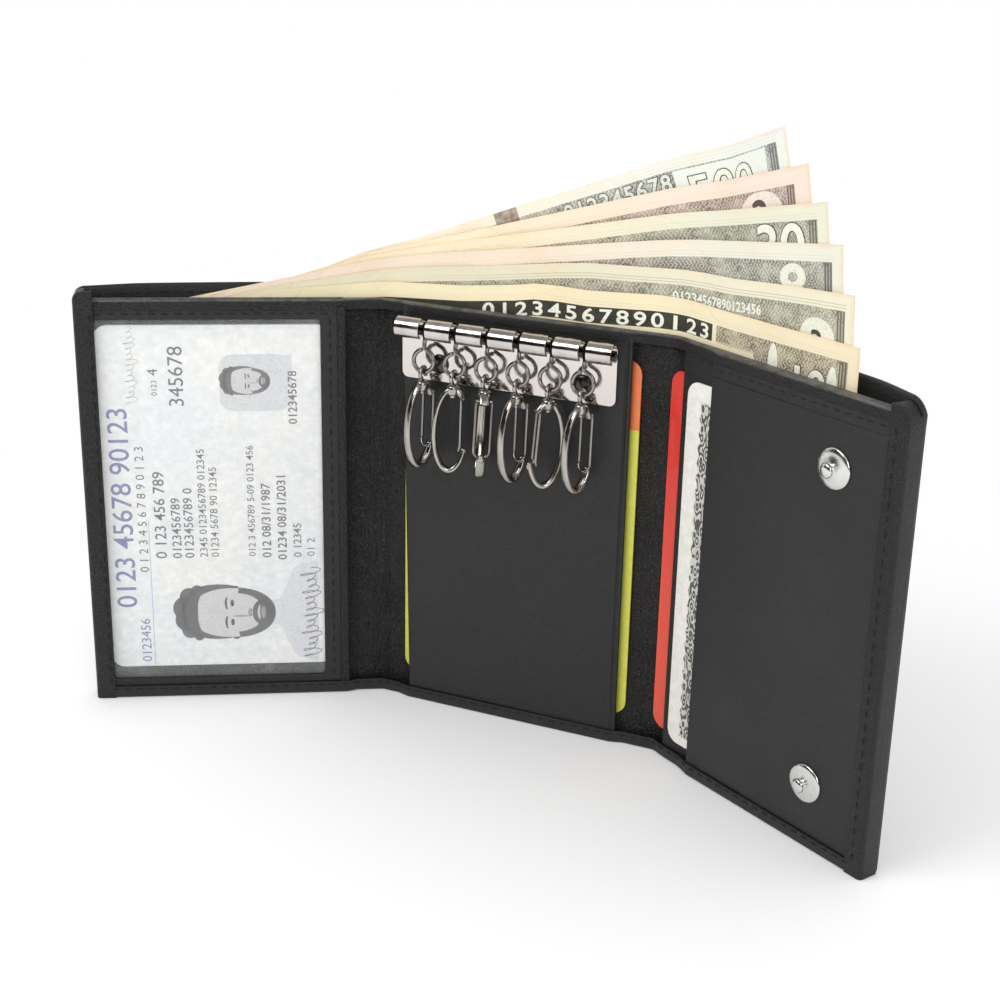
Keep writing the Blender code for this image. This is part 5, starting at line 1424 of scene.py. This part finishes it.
def plain_node_finishes():
    """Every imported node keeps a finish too, for the parts that stay hidden behind the dressed ones."""
    metal = metal_finish("plain_nickel", srgb(190, 188, 184), 0.15, 2)
    plastic = card_finish("plain_plastic", white_colour)
    paper = note_finish(2, bpy.data.node_groups["note_engraving"])
    for name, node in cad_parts.items():
        finish = leather
        if name.startswith("banknote"):
            finish = paper
        elif name.endswith("_card"):
            finish = plastic
        elif name.startswith(("hook", "key_plate", "key_rod", "plate", "snap")):
            finish = metal
        elif name.startswith("lining") or name == "card_divider":
            finish = lining
        node.data.materials.clear()
        node.data.materials.append(finish)


def add_camera():
    """The camera as fitted to the photograph: its axes, its place in metres and its lens."""
    camera = bpy.data.objects.new("camera", bpy.data.cameras.new("camera"))
    bpy.context.scene.collection.objects.link(camera)
    across = Vector((0.91241, 0.40874, 0.02095))
    up = Vector((-0.15900, 0.30683, 0.93839))
    ahead = Vector((-0.37713, 0.85953, -0.34495))
    turn = Matrix((across, up, -ahead)).transposed().to_4x4()
    camera.matrix_world = Matrix.Translation((0.14565, -0.34761, 0.19289)) @ turn
    camera.data.lens, camera.data.sensor_width = 62.09, 36.0
    bpy.context.scene.camera = camera


def add_lamp(name, at, size, power):
    """A soft lamp that faces the wallet."""
    lamp = bpy.data.lights.new(name, "AREA")
    lamp.shape, lamp.size, lamp.size_y, lamp.energy = "RECTANGLE", size[0], size[1], power
    made = bpy.data.objects.new(name, lamp)
    made.location = at
    made.rotation_euler = (Vector((0.0, 0.0, 0.06)) - Vector(at)).to_track_quat("-Z", "Y").to_euler()
    bpy.context.scene.collection.objects.link(made)


def grey(value):
    """A grey as a scene value with full alpha."""
    return (value, value, value, 1.0)


def add_floor():
    """A pale floor that glows white to the camera from 95 to 250 mm away from the wallet's middle."""
    floor = bpy.data.objects.new("floor", bpy.data.meshes.new("floor"))
    floor.data.from_pydata([(-6, -6, 0), (6, -6, 0), (6, 8, 0), (-6, 8, 0)], [], [(0, 1, 2, 3)])
    bpy.context.scene.collection.objects.link(floor)
    pale, g, shader = finish_for("pale_floor", grey(0.93), 0.9)
    seen = g.node("LightPath").outputs
    straight = g.math("MAXIMUM", seen["Is Camera Ray"], seen["Is Glossy Ray"])
    near = g.mix(straight, grey(0.75), grey(0.97))
    far = g.times(g.between(g.length(g.body()), 95.0, 250.0), seen["Is Camera Ray"])
    g.feed_all(shader, {
        "Base Color": g.mix(far, near, grey(0.0)),
        "Emission Color": grey(1.0),
        "Emission Strength": far,
        "Specular IOR Level": 0.0,
    })
    floor.data.materials.append(pale)


def add_studio():
    """A white surround that is dark behind the camera for the metal to mirror, and two lamps."""
    world = bpy.data.worlds.new("studio")
    bpy.context.scene.world = world
    world.use_nodes = True
    g = Graph(world.node_tree)
    y, z = g.split(g.node("TexCoord").outputs["Generated"])[1:3]
    shade = g.times(g.between(y, 0.05, -0.3), g.between(z, 0.68, 0.56))
    seen = g.node("LightPath").outputs
    mirrored = g.mix(g.between(z, 0.72, 0.9), grey(1.0), (0.38, 0.37, 0.36, 1.0))
    mirrored = g.mix(shade, mirrored, grey(0.02))
    g.feed_all(world.node_tree.nodes["Background"], {
        "Color": g.mix(seen["Is Glossy Ray"], grey(1.0), mirrored),
        "Strength": g.mix(seen["Is Camera Ray"], grey(0.88), grey(1.0)),
    })
    add_lamp("key_lamp", (-0.45, -0.55, 0.75), (0.5, 0.35), 2.6)
    add_lamp("front_lamp", (0.5, -0.75, 0.45), (0.3, 0.4), 1.9)
    bpy.context.scene.view_settings.view_transform = "Standard"


leather_pieces()
window_and_pockets()
cards()
identity_print()
notes()
key_bar()
hooks()
snaps()
plain_node_finishes()
add_camera()
add_floor()
add_studio()
